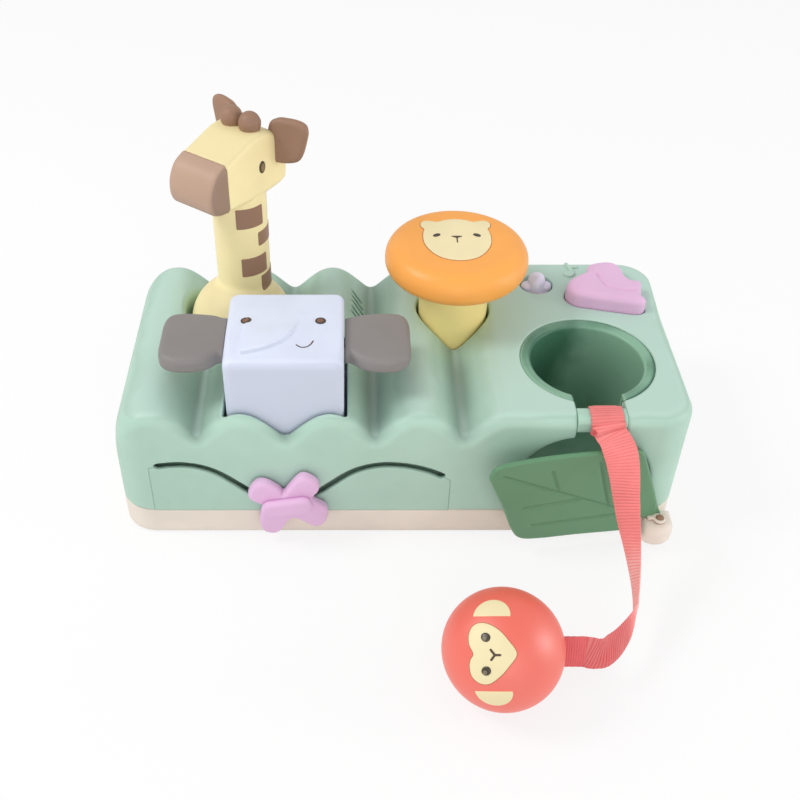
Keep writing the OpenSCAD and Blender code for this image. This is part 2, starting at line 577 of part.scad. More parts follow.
module giraffe_spring() color([0.72, 0.72, 0.74]) at_giraffe() coil(23.6, 0.8, base_h + 2.5, dome_low_z, 4, 14);
module elephant_spring() color([0.72, 0.72, 0.74]) at_elephant() coil(5.4, 0.6, floor_t, stem_low_z, 7);
module lion_spring() color([0.72, 0.72, 0.74]) at_lion() coil(8.6, 0.75, pedestal_z, stem_roof_z, 9);

module giraffe_dome() color([0.94, 0.88, 0.65]) at_giraffe() difference() {
    union() {
        difference() {
            translate([0, 0, gz]) sphere(dome_r, $fn = 96);
            translate([0, 0, gz]) sphere(dome_r - dome_wall, $fn = 96);
            rod(60, gz - 60, dome_low_z);
        }
        intersection() {
            for (s = [0, 180]) translate([0, 0, gz]) rotate([0, 90, s]) translate([0, 0, gimbal_r1 + 0.5]) cylinder(r = 5, h = 7);
            translate([0, 0, gz]) sphere(dome_r - 0.5, $fn = 96);
        }
    }
    translate([0, 0, gz]) rotate([0, 90, 0]) cylinder(r = gimbal_pin_r, h = 2 * (gimbal_r1 + 5), center = true);
}

module giraffe_neck() color([0.94, 0.88, 0.65]) difference() {
    at_head() rod(neck_r, gz, neck_top_z);
    at_giraffe() translate([0, 0, gz]) sphere(dome_r, $fn = 96);
    at_giraffe() rod(60, 0, gz + 8);
}

// side view of the head, forwards and up from the neck's top, and where the muzzle starts
head_pts = [[-24, -8], [-24.5, 2], [-22, 13], [-15, 20], [-6, 23], [2, 23], [10, 21], [18, 18.6], [25, 16.6], [31, 13.4], [35, 7], [36, 0],
    [34.5, -5.5], [30, -8.6], [22, -10], [8, -11.6], [-6, -12.2], [-18, -11.6], [-22.5, -10]];
head_side = spline(head_pts, 3);
split_u = 23.2;
module head_solid(d) translate([0, 0, neck_top_z]) rotate([90, 0, 0]) pillow(inset(around(head_side), -d), -head_w / 2 - d, head_w / 2 + d, 4.5);

module giraffe_head() color([0.94, 0.88, 0.65]) at_head() difference() {
    head_solid(0);
    translate([split_u, -60, 0]) cube([60, 120, 300]);
    rod(neck_r, 20, neck_top_z);
}
module giraffe_muzzle() color([0.72, 0.6, 0.52]) at_head() difference() {
    head_solid(0.4);
    translate([split_u - 60, -60, 0]) cube([60, 120, 300]);
}
horn_z = neck_top_z + 26.4;
horn_r = 5.7;
module giraffe_horns() color([0.65, 0.52, 0.44]) at_head() difference() {
    for (s = [-1, 1]) translate([-5.8, s * 6, 0]) {
        rod(horn_r * 0.9, horn_z - 8, horn_z);
        translate([0, 0, horn_z]) sphere(horn_r);
    }
    head_solid(0);
}
// ear plate: outwards from the head and up from its middle
giraffe_ear_line = spline([[-5, -11.5], [0, -12.8], [7, -12.2], [12.5, -10.4], [15, -6], [17, 3], [18.3, 8.6], [16.5, 11.8], [8, 12.4], [-1, 12.2], [-5, 10]], 3);
ear_sweep = 16;
module giraffe_ear(s) at_head() translate([-16.5, s * (head_w / 2 - 0.5), neck_top_z + 15]) rotate([0, 0, s * (90 + ear_sweep)]) rotate([90, 0, 0])
    pillow(giraffe_ear_line, -2.6, 2.6, 2.2, 3);
module giraffe_ear_l() color([0.65, 0.52, 0.44]) difference() {
    giraffe_ear(1);
    at_head() head_solid(0);
}
module giraffe_ear_r() color([0.65, 0.52, 0.44]) difference() {
    giraffe_ear(-1);
    at_head() head_solid(0);
}
// bands let into the neck: top below the neck's top, height, where each starts round the neck
band_list = [[15.5, 12, [33, 139, 244]], [31.5, 8.6, [79, 199]], [46, 11.7, [38, 139, 239]], [59.5, 9.8, [81, 197]]];
band_sweep = 62;
module giraffe_spots() color([0.65, 0.52, 0.44]) at_head() difference() {
    for (b = band_list, a = b[2]) intersection() {
        tube(neck_r + 0.3, neck_r, neck_top_z - b[0] - b[1], neck_top_z - b[0]);
        rotate(a) linear_extrude(300) polygon([[0, 0], [40, 0], 50 * [cos(band_sweep / 2), sin(band_sweep / 2)],
            40 * [cos(band_sweep), sin(band_sweep)]]);
    }
    at_dome() sphere(dome_r + 0.3, $fn = 96);
}
module at_dome() translate([-neck_set, 0, gz]) children();

trunk_line = spline([[-21, -22.9], [-14, -21.4], [-7, -18.2], [-1, -13.4], [3.4, -7.2], [6.2, 0], [7, 6], [-4, 8], [-15, 7], [-20.6, 2], [-21, -8],
    [-21.6, -18]], 3);
module elephant_block() color([0.83, 0.85, 0.93]) at_elephant() difference() {
    union() {
        loft(concat([[for (q = box_ring(block_w, block_w, 5, 4)) [q[0], q[1], block_low_z]]],
            [for (i = [0 : 4]) let (a = 90 * i / 4, d = 3.6 * (1 - cos(a)))
                [for (q = box_ring(block_w - 2 * d, block_w - 2 * d, 5 - d, 4)) [q[0], q[1], block_top - 3.6 * (1 - sin(a))]]]));
        translate([-hole_w / 2 - wall, front_y + wall + play - ey, block_low_z]) cube([hole_w + 2 * wall, hole_w / 2 + wall + ey - front_y - wall - play, 2.6]);
        translate([0, 0, block_top - 1]) linear_extrude(2.2) polygon(trunk_line);
    }
    difference() {
        translate([0, 0, (block_low_z + block_top - wall) / 2 - 5]) cube([block_w - 2 * wall, block_w - 2 * wall, block_top - wall - block_low_z + 10], center = true);
        rod(stem_guide_r, stem_low_z, block_top);
    }
    for (s = [-1, 1]) translate([s * block_w / 2, 0, ear_z]) rotate([0, 90, 0]) cylinder(r = 2.5, h = 12, center = true);
}
ear_z = block_top - 10;
function ear_line(s) = spline([for (q = [[-2, -12], [3, -13.5], [8, -18], [15, -20.5], [26, -20.5], [33, -15], [34, 0], [33, 15.5], [26, 20.5], [10, 19.5], [3, 17], [-2, 14]])
    [s * q[0] * ear_reach / 34, q[1] * ear_d / 41]], 3);
module elephant_ear(s) at_elephant() difference() {
    union() {
        translate([s * block_w / 2, 0, 0]) difference() {
            pillow(ear_line(s), ear_z - ear_t / 2, ear_z + ear_t / 2, 3.4);
        }
        translate([s * (block_w / 2 + 1), 0, ear_z]) rotate([0, s * 90, 0]) translate([0, 0, -3]) cylinder(r = 2.5, h = 5);
    }
    difference() {
        cube([block_w, 90, 400], center = true);
        translate([s * block_w / 2, 0, ear_z]) rotate([0, 90, 0]) cylinder(r = 2.5, h = 4, center = true);
    }
}
module elephant_ear_l() color([0.57, 0.55, 0.54]) elephant_ear(-1);
module elephant_ear_r() color([0.57, 0.55, 0.54]) elephant_ear(1);

module lion_cap() color([0.98, 0.69, 0.36]) at_lion() difference() {
    translate([0, 0, cap_z]) rotate_extrude($fn = 96) polygon(concat([[0, 0]],
        [for (i = [0 : 8]) [cap_r - 7 + 7 * sin(11.25 * i), 7 - 7 * cos(11.25 * i)]],
        [for (i = [0 : 10]) [face_r + 10 + (cap_r - face_r - 10) * cos(9 * i), 8 + (cap_t - 8) * sin(9 * i)]], [[0, cap_t]]));
    rod(1.4, cap_z - 1, cap_z + 9);
}
// right half of the face with its ear, from the chin to the crown
face_half = [[8, -16.6], [13.6, -11.6], [17.4, -4], [18.4, 3], [18, 9], [17.4, 12.2], [19, 14.8], [19, 18.2], [16.8, 20.4], [13.2, 20.2], [10, 19.4], [5.4, 21.4]];
face_line = concat([[0, -18.6]], face_half, [[0, 22.2]], [for (i = [len(face_half) - 1 : -1 : 0]) [-face_half[i][0], face_half[i][1]]]);
module lion_face() color([0.92, 0.87, 0.69]) at_lion() translate([0, 0, cap_z + cap_t]) linear_extrude(0.5)
    polygon(spline(face_line, 3) * (face_r / 19));
module lion_stem() color([0.92, 0.87, 0.62]) at_lion() difference() {
    union() {
        rod(stem_r, lion_low_z, cap_z);
        rod(stem_hole_r + 2, lion_low_z, lion_low_z + 2.6);
    }
    rod(stem_r - wall, lion_low_z - 1, stem_roof_z);
    rod(1.6, stem_roof_z - 1, cap_z + 1);
}
module lion_screw() color([0.7, 0.7, 0.72]) at_lion() {
    rod(3, stem_roof_z - 2, stem_roof_z);
    rod(1.4, stem_roof_z - 1, cap_z + 8);
}

module bird_button() color([0.88, 0.71, 0.86]) at_bird() {
    flange = [[-play - 2, bird_low_z], [-play - 2, bird_low_z + 2.6], [0, bird_low_z + 2.6]];
    crown = [for (a = [0 : 30 : 90]) [2.4 * (1 - cos(a)), crest_z + bird_rise - 2.4 * (1 - sin(a))]];
    loft([for (k = concat(flange, crown)) [for (q = inset(around(bird_line), k[0])) [q[0], q[1], k[1]]]]);
    rod(3, plunger_z, bird_low_z + 1);
}

// butterfly outline about the middle of its body
butterfly_pts = [[-1.4, 8.2], [1.5, 12.5], [6.2, 19], [10.5, 20.5], [16.8, 15.7], [17.2, 10.2], [13.8, 3.7], [20.7, -2.3], [21.7, -6.9],
    [20, -14.2], [14.4, -16.7], [5.6, -10.9], [1.2, -11.8], [-3.6, -20], [-8.2, -22.2], [-13.1, -20], [-14.9, -13.4], [-14, -6.9], [-12, -1.3],
    [-18.9, 3.7], [-19.6, 9], [-15.8, 15.2], [-10.4, 16], [-3.5, 11]];
fly_x = slot_x + 1;
fly_z = slot_z + 3;
fly_gap = 0.7;
module butterfly_wings() color([0.88, 0.72, 0.86]) difference() {
    union() {
        translate([fly_x, front_y - fly_gap, fly_z]) rotate([90, 0, 0]) pillow(spline(butterfly_pts, 3), 0, wing_t, 2.6, 3);
        translate([slot_x, front_y - fly_gap - 1, slot_z]) rotate([-90, 0, 0]) cylinder(r = slot_w / 2 - 0.3, h = fly_gap + 1 + wall + play);
    }
    translate([slot_x, front_y + 10, slot_z]) rotate([90, 0, 0]) cylinder(r = 0.9, h = 14);
}
module butterfly_bar() color([0.9, 0.74, 0.88]) difference() {
    translate([fly_x + 0.5, front_y - fly_gap - wing_t, fly_z + 1.5]) rotate([0, -10, 0]) {
        rotate([0, 90, 0]) cylinder(r = 5, h = 18, center = true);
        for (s = [-1, 1]) translate([s * 9, 0, 0]) sphere(5);
    }
    translate([fly_x - 60, front_y - fly_gap - wing_t, fly_z - 60]) cube([120, 30, 120]);
}
module butterfly_retainer() color([0.85, 0.85, 0.85]) translate([slot_x, front_y + wall + play, slot_z]) rotate([-90, 0, 0]) difference() {
    cylinder(r = 5.5, h = 2);
    translate([0, 0, -1]) cylinder(r = 1.1, h = 4);
}
module butterfly_screw() color([0.7, 0.7, 0.72]) translate([slot_x, front_y + wall + play + 2, slot_z]) rotate([90, 0, 0]) {
    translate([0, 0, -1.4]) cylinder(r = 2, h = 1.4);
    translate([0, 0, -0.5]) cylinder(r = 0.9, h = 7.5);
}

// leaf outline: distance from the hinge, height above the base
leaf_pts = [[13.5, -7.6], [22, -8], [45, -7.4], [64, -7.4], [75, -5.6], [80.5, 2], [87, 20], [94, 37], [95.2, 43], [91, 49], [77, 51.5],
    [58, 52.6], [40, 52.6], [25, 52], [18, 50.4], [15, 46.5], [8, 28], [0.5, 7], [-1.5, 2.5], [-0.5, 0.6], [6, 0.6], [11.5, 0.2], [12.4, -2.5]];
leaf_line = spline(leaf_pts, 3);
vein_list = [[88.5, 42.7, 14, 5.2], [63, 42.7, 58.2, 28.6], [38.7, 45.7, 29.9, 14.4], [45.7, 20.6, 75.5, 18.1], [22, 6.4, 69.7, 4.1]];
knuckle_h = 6;
module leaf_door() color([0.44, 0.61, 0.47]) at_leaf() difference() {
    union() {
        translate([0, leaf_in + leaf_t, base_h]) rotate([90, 0, 0]) mirror([1, 0, 0]) linear_extrude(leaf_t) polygon(leaf_line);
        rod(hinge_pin_r + 2.3, base_h + 0.4, base_h + knuckle_h);
        translate([-6, 0, base_h + 0.6]) cube([6, leaf_in + 1, knuckle_h - 1]);
    }
    rod(hinge_pin_r + 0.05, 0, base_h + 30);
    rod(hinge_pin_r + 1.4, base_h + knuckle_h, base_h + 9);
    for (v = vein_list) let (l = norm([v[2] - v[0], v[3] - v[1]]), a = atan2(v[3] - v[1], v[2] - v[0]))
        translate([0, leaf_in - 0.1, base_h]) rotate([90, 0, 0]) mirror([1, 0, 0]) translate([v[0], v[1], -0.8]) rotate(a) translate([0, -0.5, 0]) cube([l, 1, 2]);
}

module ball_shell() difference() {
    sphere(ball_r, $fn = 96);
    sphere(ball_r - wall, $fn = 96);
}
module ball_front() color([0.91, 0.42, 0.36]) at_ball() difference() {
    ball_shell();
    translate([0, 0, -50]) cube(100, center = true);
}
module ball_back() color([0.91, 0.42, 0.36]) at_ball() difference() {
    ball_shell();
    translate([0, 0, 50]) cube(100, center = true);
}
heart_pts = [[-16.4, -2], [-18, 2], [-17.9, 6.4], [-16, 10], [-12.6, 11.3], [-8.8, 10.4], [-5, 7.8], [-1.6, 3.8], [1.9, -1.9], [-1.4, -7.2],
    [-5.2, -11.6], [-9.6, -14.8], [-13.6, -14.6], [-16.8, -11.8], [-17.9, -7.8], [-17.6, -4.8]];
module on_ball() intersection() {
    difference() {
        sphere(ball_r + 0.35, $fn = 96);
        sphere(ball_r, $fn = 96);
    }
    linear_extrude(40) children();
}
module ball_face() color([0.92, 0.86, 0.68]) at_ball() on_ball() polygon(spline(heart_pts, 4));
module ball_ears() color([0.92, 0.86, 0.68]) at_ball() {
    on_ball() polygon([for (i = [0 : 16]) [-7.7 + 7.9 * cos(11.25 * i), 14.2 + 7.5 * sin(11.25 * i)]]);
    on_ball() polygon([for (i = [0 : 16]) [-7.4 + 7.9 * cos(-11.25 * i), -18.1 + 6.3 * sin(-11.25 * i)]]);
}

upper_shell();
base_tray();
front_panel();
ball_chute();
strap_bar();
strap_loop();
strap();
light_cover();
led();
circuit_board();
board_screws();
button_dome();
speaker();
battery_cells();
battery_contacts();
battery_door();
door_screw();
shell_screws();
hinge_pin();
gimbal_cross_pin();
giraffe_spring();
elephant_spring();
lion_spring();
gimbal_ring();
gimbal_side_pins();
giraffe_dome();
giraffe_neck();
giraffe_head();
giraffe_muzzle();
giraffe_horns();
giraffe_ear_l();
giraffe_ear_r();
giraffe_spots();
elephant_block();
elephant_ear_l();
elephant_ear_r();
lion_cap();
lion_face();
lion_stem();
lion_screw();
bird_button();
butterfly_wings();
butterfly_bar();
butterfly_retainer();
butterfly_screw();
leaf_door();
ball_front();
ball_back();
ball_face();
ball_ears();
strap_tab();
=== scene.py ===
"""Looks of the pounding bench: moulded plastic, printed faces and a woven ribbon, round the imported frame."""
import itertools
import math

import bpy
import numpy as np
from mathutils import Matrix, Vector


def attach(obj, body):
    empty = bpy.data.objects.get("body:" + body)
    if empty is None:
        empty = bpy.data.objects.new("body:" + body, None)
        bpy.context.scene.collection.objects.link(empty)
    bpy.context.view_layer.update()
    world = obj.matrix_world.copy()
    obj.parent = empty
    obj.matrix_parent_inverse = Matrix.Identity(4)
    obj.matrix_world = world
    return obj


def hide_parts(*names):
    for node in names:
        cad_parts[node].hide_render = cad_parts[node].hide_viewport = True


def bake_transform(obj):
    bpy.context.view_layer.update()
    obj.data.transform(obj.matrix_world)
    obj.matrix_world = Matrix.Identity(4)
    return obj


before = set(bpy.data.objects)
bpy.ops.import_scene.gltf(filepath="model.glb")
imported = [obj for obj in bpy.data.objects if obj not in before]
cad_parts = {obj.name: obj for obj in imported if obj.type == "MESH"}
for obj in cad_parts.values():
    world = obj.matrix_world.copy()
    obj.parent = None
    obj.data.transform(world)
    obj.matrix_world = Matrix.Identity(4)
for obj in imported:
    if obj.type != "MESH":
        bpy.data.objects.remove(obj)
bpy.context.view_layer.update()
MM = 0.001
SCENE = bpy.context.scene

# most gives the common part of two fields, least their union
most, least = np.maximum, np.minimum


def cosin(degrees):
    return math.cos(math.radians(degrees)), math.sin(math.radians(degrees))


# distances: every field takes millimetres and gives a signed distance, below zero inside

def rmax(a, b, r):
    """common part of two fields, with its edge rounded to radius r"""
    return least(most(a, b), -r) + np.hypot(most(a + r, 0), most(b + r, 0))


def rmin(a, b, r):
    """union of two fields, with a fillet of radius r in the corner"""
    return -rmax(-a, -b, r)


def smin(a, b, k):
    """union that flows together over about k"""
    h = np.clip(0.5 + 0.5 * (b - a) / k, 0, 1)
    return b + (a - b) * h - k * h * (1 - h)


def cut(a, b, r):
    """field a with b taken out, and the new edge rounded"""
    return rmax(a, -b, r)


def slab(z, z0, z1):
    return most(z0 - z, z - z1)


def disc(x, y, r):
    return np.hypot(x, y) - r


def rect(x, y, w, d, r=0.0):
    """rectangle w by d about the middle, corners of radius r"""
    qx = np.abs(x) - w / 2 + r
    qy = np.abs(y) - d / 2 + r
    return np.hypot(most(qx, 0), most(qy, 0)) + least(most(qx, qy), 0) - r


NEAR = 8


def poly(x, y, pts):
    """closed outline, exact up to NEAR from it and its box beyond"""
    pts = np.asarray(pts, float)
    x, y = np.broadcast_arrays(np.asarray(x, float), np.asarray(y, float))
    low, high = pts.min(0), pts.max(0)
    over = [most(most(low[k] - q, q - high[k]), 0) for k, q in enumerate((x, y))]
    gap = np.hypot(*over)
    near = gap < NEAR
    gap[near] = outline_distance(x[near], y[near], pts)
    return gap


def outline_distance(x, y, pts):
    best = np.full(x.shape, 1e9)
    sign = np.ones(x.shape)
    n = len(pts)
    for i in range(n):
        ax, ay = pts[i]
        bx, by = pts[(i + 1) % n]
        ex, ey = bx - ax, by - ay
        long = ex * ex + ey * ey
        if long < 1e-12:
            continue
        t = np.clip(((x - ax) * ex + (y - ay) * ey) / long, 0, 1)
        best = least(best, (x - ax - t * ex) ** 2 + (y - ay - t * ey) ** 2)
        crosses = ((ay > y) != (by > y)) & (x < ex * (y - ay) / (ey if abs(ey) > 1e-12 else 1e-12) + ax)
        sign = np.where(crosses, -sign, sign)
    return sign * np.sqrt(best)


def stroke_d(x, y, pts):
    """distance from an open line of points"""
    best = 1e9
    for (ax, ay), (bx, by) in zip(pts[:-1], pts[1:]):
        ex, ey = bx - ax, by - ay
        t = np.clip(((x - ax) * ex + (y - ay) * ey) / (ex * ex + ey * ey), 0, 1)
        best = least(best, np.hypot(x - ax - t * ex, y - ay - t * ey))
    return best


def spline(pts, n, closed=True):
    """smooth curve through points"""
    p = np.array(pts, float)
    last = len(p) - 1
    out = []
    for i in range(last + closed):
        a, b, d, e = (p[k % len(p) if closed else min(max(k, 0), last)] for k in range(i - 1, i + 3))
        for j in range(n):
            t = j / n
            square = 2 * b + (d - a) * t + (2 * a - 5 * b + 4 * d - e) * t * t
            out.append(0.5 * (square + (3 * b - a - 3 * d + e) * t ** 3))
    if not closed:
        out.append(p[-1])
    return np.array(out)


def turned(x, y, degrees):
    """coordinates seen from axes turned by an angle"""
    c, s = cosin(degrees)
    return x * c + y * s, -x * s + y * c


# meshes

def lines(lo, hi, step, fine=()):
    """grid lines from lo to hi, with closer ones in the fine stretches (from, to, step)"""
    out = [lo]
    while out[-1] < hi:
        here = out[-1]
        s = step
        for f0, f1, fs in fine:
            if f0 - step <= here <= f1:
                s = min(s, fs)
        out.append(here + s)
    return np.array(out)


def nets(field, xs, ys, zs):
    """closed quad mesh of the field's zero surface"""
    grid = (xs, ys, zs)
    shape = (len(xs), len(ys), len(zs))
    d = field(xs[:, None, None], ys[None, :, None], zs[None, None, :])
    d = np.broadcast_to(d, shape).astype(np.float32)
    inside = d < 0
    count = np.zeros([n - 1 for n in shape], np.int8)
    for i, j, k in itertools.product((0, 1), repeat=3):
        count += inside[i:shape[0] - 1 + i, j:shape[1] - 1 + j, k:shape[2] - 1 + k]
    cells = np.argwhere((count > 0) & (count < 8))
    number = np.full(count.shape, -1, np.int32)
    number[tuple(cells.T)] = np.arange(len(cells))
    place = np.zeros((len(cells), 3))
    hits = np.zeros(len(cells))
    for axis in range(3):
        u, v = (axis + 1) % 3, (axis + 2) % 3
        for ou, ov in itertools.product((0, 1), repeat=2):
            a = cells.copy()
            a[:, u] += ou
            a[:, v] += ov
            b = a.copy()
            b[:, axis] += 1
            da, db = d[tuple(a.T)], d[tuple(b.T)]
            m = (da < 0) != (db < 0)
            t = (da[m] / (da[m] - db[m]))[:, None]
            pa = np.stack([grid[q][a[m, q]] for q in range(3)], 1)
            pb = np.stack([grid[q][b[m, q]] for q in range(3)], 1)
            place[m] += pa + t * (pb - pa)
            hits[m] += 1
    place /= hits[:, None]
    quads = []
    for axis in range(3):
        u, v = (axis + 1) % 3, (axis + 2) % 3
        low = [slice(None)] * 3
        high = [slice(None)] * 3
        low[axis], high[axis] = slice(0, -1), slice(1, None)
        for q in (u, v):
            low[q] = high[q] = slice(1, -1)
        first, second = inside[tuple(low)], inside[tuple(high)]
        e = np.argwhere(first != second)
        out = first[tuple(e.T)]
        e[:, u] += 1
        e[:, v] += 1
        ring = []
        for ou, ov in ((-1, -1), (0, -1), (0, 0), (-1, 0)):
            c = e.copy()
            c[:, u] += ou
            c[:, v] += ov
            ring.append(number[tuple(c.T)])
        q = np.stack(ring, 1)
        q[~out] = q[~out][:, ::-1]
        quads.append(q)
    return place, np.concatenate(quads)


def settle(field, p, cap, rounds=3):
    """points drawn onto the field's zero surface"""
    e = 0.03
    for _ in range(rounds):
        f = field(*p.T)
        g = np.stack([field(*(p + d).T) - field(*(p - d).T) for d in np.eye(3) * e], 1) / (2 * e)
        move = f[:, None] * g / most((g * g).sum(1), 0.05)[:, None]
        far = np.linalg.norm(move, axis=1)
        p = p - move * least(1, cap / most(far, 1e-9))[:, None]
    return p


def mesh_object(name, points, faces):
    """object from points in millimetres and faces of one size"""
    faces = np.asarray(faces, np.int32)
    size = faces.shape[1]
    me = bpy.data.meshes.new(name)
    me.vertices.add(len(points))
    me.vertices.foreach_set("co", (np.asarray(points, float) * MM).astype(np.float32).ravel())
    me.loops.add(faces.size)
    me.loops.foreach_set("vertex_index", faces.ravel())
    me.polygons.add(len(faces))
    me.polygons.foreach_set("loop_start", np.arange(0, faces.size, size, dtype=np.int32))
    me.update(calc_edges=True)
    me.validate()
    me.shade_smooth()
    ob = bpy.data.objects.new(name, me)
    SCENE.collection.objects.link(ob)
    return ob


def solid(name, field, lo, hi, step, fine=((), (), ())):
    """object that fills the field between two corners"""
    grid = [lines(lo[q] - 1.5 * step, hi[q] + 1.5 * step, step, fine[q]) for q in range(3)]
    points, quads = nets(field, *grid)
    return mesh_object(name, settle(field, points, step * 0.6), quads)


def loft(name, rings, closed=False):
    """closed skin through rings of points, capped at both ends unless the rings come back to the first"""
    rings = [np.asarray(r, float) for r in rings]
    n, m = len(rings[0]), len(rings)
    points = np.concatenate(rings)
    faces = []
    for k in range(m if closed else m - 1):
        a, b = k * n, ((k + 1) % m) * n
        for i in range(n):
            j = (i + 1) % n
            faces.append((a + i, a + j, b + j, b + i))
    if not closed:
        for k, flip in ((0, True), (m - 1, False)):
            middle = len(points)
            points = np.concatenate([points, rings[k].mean(0)[None]])
            for i in range(0, n, 2):
                j, l = (i + 1) % n, (i + 2) % n
                quad = (k * n + i, k * n + j, k * n + l, middle)
                faces.append(quad[::-1] if flip else quad)
    return mesh_object(name, points, faces)


def lathe(name, profile, centre, sides=128):
    """closed turned piece: profile of (radius, height) from axis to axis, upwards on the outside"""
    rings = []
    angles = np.arange(sides) * 2 * math.pi / sides
    for r, z in profile:
        r = max(r, 1e-3)
        x, y = centre[0] + r * np.cos(angles), centre[1] + r * np.sin(angles)
        rings.append(np.stack([x, y, np.full(sides, centre[2] + z)], 1))
    return loft(name, rings)


def decal(name, outline, place, lift, sink=0.4, rim=0.3):
    """thin raised print or inlay: outline about its middle, put on a surface by place(u, v, height)"""
    o = np.asarray(outline, float)
    if len(o) % 2:
        o = np.concatenate([o, (o[-1:] + o[:1]) / 2])
    area = 0.5 * np.sum(o[:, 0] * np.roll(o[:, 1], -1) - np.roll(o[:, 0], -1) * o[:, 1])
    if area < 0:
        o = o[::-1]
    mid = (o.max(0) + o.min(0)) / 2
    reach = np.linalg.norm(o - mid, axis=1).max()
    edge = 1 - min(rim / reach, 0.5)
    stack = [(0.4, -sink), (0.8, -sink), (1.0, -sink), (1.0, lift * 0.35)]
    for c, s in map(cosin, (30, 60, 90)):
        stack.append((1 - (1 - edge) * (1 - c), lift * (0.35 + 0.65 * s)))
    stack += [(edge * s, lift) for s in (0.86, 0.68, 0.5, 0.32, 0.14)]
    rings = []
    for s, h in stack:
        q = mid + s * (o - mid)
        rings.append(place(q[:, 0], q[:, 1], np.full(len(q), h)))
    return loft(name, rings)


def pen(name, line, width, place, lift, sink=0.4):
    """thin raised pen line with round ends"""
    p = np.asarray(line, float)
    d = np.gradient(p, axis=0)
    d /= np.linalg.norm(d, axis=1)[:, None]
    side = np.stack([-d[:, 1], d[:, 0]], 1)
    start, stop = p[0] - d[0] * width / 2, p[-1] + d[-1] * width / 2
    p = np.concatenate([[start, p[0] - d[0] * width * 0.3], p, [p[-1] + d[-1] * width * 0.3, stop]])
    side = np.concatenate([[side[0]] * 2, side, [side[-1]] * 2])
    half = np.full(len(p), width / 2)
    half[[0, -1]] = width * 0.12
    half[[1, -2]] = width * 0.4
    rings = []
    for q, s, h in zip(p, side, half):
        across = np.array([1, 1, 0.75, 0.35, -0.35, -0.75, -1, -1]) * h
        up = np.array([-sink, lift * 0.2, lift * 0.75, lift, lift, lift * 0.75, lift * 0.2, -sink])
        pts = q[None] + across[:, None] * s[None]
        rings.append(place(pts[:, 0], pts[:, 1], up))
    return loft(name, rings)


def grown(outline, by):
    """outline moved outwards along its own normals"""
    o = np.asarray(outline, float)
    along = np.roll(o, -1, axis=0) - np.roll(o, 1, axis=0)
    along /= np.linalg.norm(along, axis=1)[:, None]
    area = np.sum(o[:, 0] * np.roll(o[:, 1], -1) - np.roll(o[:, 0], -1) * o[:, 1])
    return o + np.stack([along[:, 1], -along[:, 0]], 1) * (by if area > 0 else -by)


def oval(u, v, a, b, turn=0.0, n=28):
    t = np.arange(n) * 2 * math.pi / n
    c, s = cosin(turn)
    x, y = a * np.cos(t), b * np.sin(t)
    return np.stack([u + x * c - y * s, v + x * s + y * c], 1)


# colours and materials

def linear(rgb):
    out = []
    for v in rgb:
        v /= 255
        out.append(v / 12.92 if v <= 0.04045 else ((v + 0.055) / 1.055) ** 2.4)
    return tuple(out) + (1.0,)


def shade(rgb, k):
    return tuple(min(255, max(0, v * k)) for v in rgb)


class Nodes:
    """short hand for the node tree of a material or a world"""

    def __init__(self, owner):
        owner.use_nodes = True
        self.tree = owner.node_tree

    def add(self, kind, **values):
        """node with its settings and inputs, where _ stands for a blank"""
        node = self.tree.nodes.new(kind)
        for key, value in values.items():
            if hasattr(node, key):
                setattr(node, key, value)
            else:
                node.inputs[key.replace("_", " ")].default_value = value
        return node

    def link(self, a, b):
        self.tree.links.new(a, b)

    def span(self, fac, low, high, to_low, to_high):
        node = self.add("ShaderNodeMapRange", From_Min=low, From_Max=high, To_Min=to_low, To_Max=to_high)
        self.link(fac, node.inputs["Value"])
        return node.outputs["Result"]

    def math(self, kind, a, b):
        node = self.add("ShaderNodeMath", operation=kind)
        for i, value in enumerate((a, b)):
            if isinstance(value, (int, float)):
                node.inputs[i].default_value = value
            else:
                self.link(value, node.inputs[i])
        return node.outputs["Value"]


class Paint(Nodes):
    """short hand for a material"""

    def __init__(self, name):
        self.material = bpy.data.materials.new(name)
        super().__init__(self.material)
        self.bsdf = self.tree.nodes["Principled BSDF"]
        coord = self.add("ShaderNodeTexCoord")
        self.place, self.normal = coord.outputs["Object"], coord.outputs["Normal"]

    def noise(self, scale, detail, rough):
        node = self.add("ShaderNodeTexNoise", Scale=scale, Detail=detail, Roughness=rough)
        self.link(self.place, node.inputs["Vector"])
        return node.outputs["Fac"]

    def ramp(self, fac, stops):
        node = self.add("ShaderNodeValToRGB")
        e = node.color_ramp.elements
        e[0].position, e[1].position = stops[0][0], stops[-1][0]
        e[0].color, e[1].color = linear(stops[0][1]), linear(stops[-1][1])
        for at, rgb in stops[1:-1]:
            e.new(at).color = linear(rgb)
        self.link(fac, node.inputs["Fac"])
        return node.outputs["Color"]

    def colour(self, colour):
        self.link(colour, self.bsdf.inputs["Base Color"])

    def gloss(self, fac, low, high, rough_low, rough_high):
        self.link(self.span(fac, low, high, rough_low, rough_high), self.bsdf.inputs["Roughness"])

    def upward(self, vector):
        node = self.add("ShaderNodeSeparateXYZ")
        self.link(vector, node.inputs[0])
        return node.outputs[2]

    def bump(self, height, depth, strength):
        node = self.add("ShaderNodeBump", Strength=strength, Distance=depth)
        self.link(height, node.inputs["Height"])
        self.link(node.outputs["Normal"], self.bsdf.inputs["Normal"])

    def set(self, **values):
        for key, value in values.items():
            self.bsdf.inputs[key.replace("_", " ")].default_value = value


SKIN = 0.00002


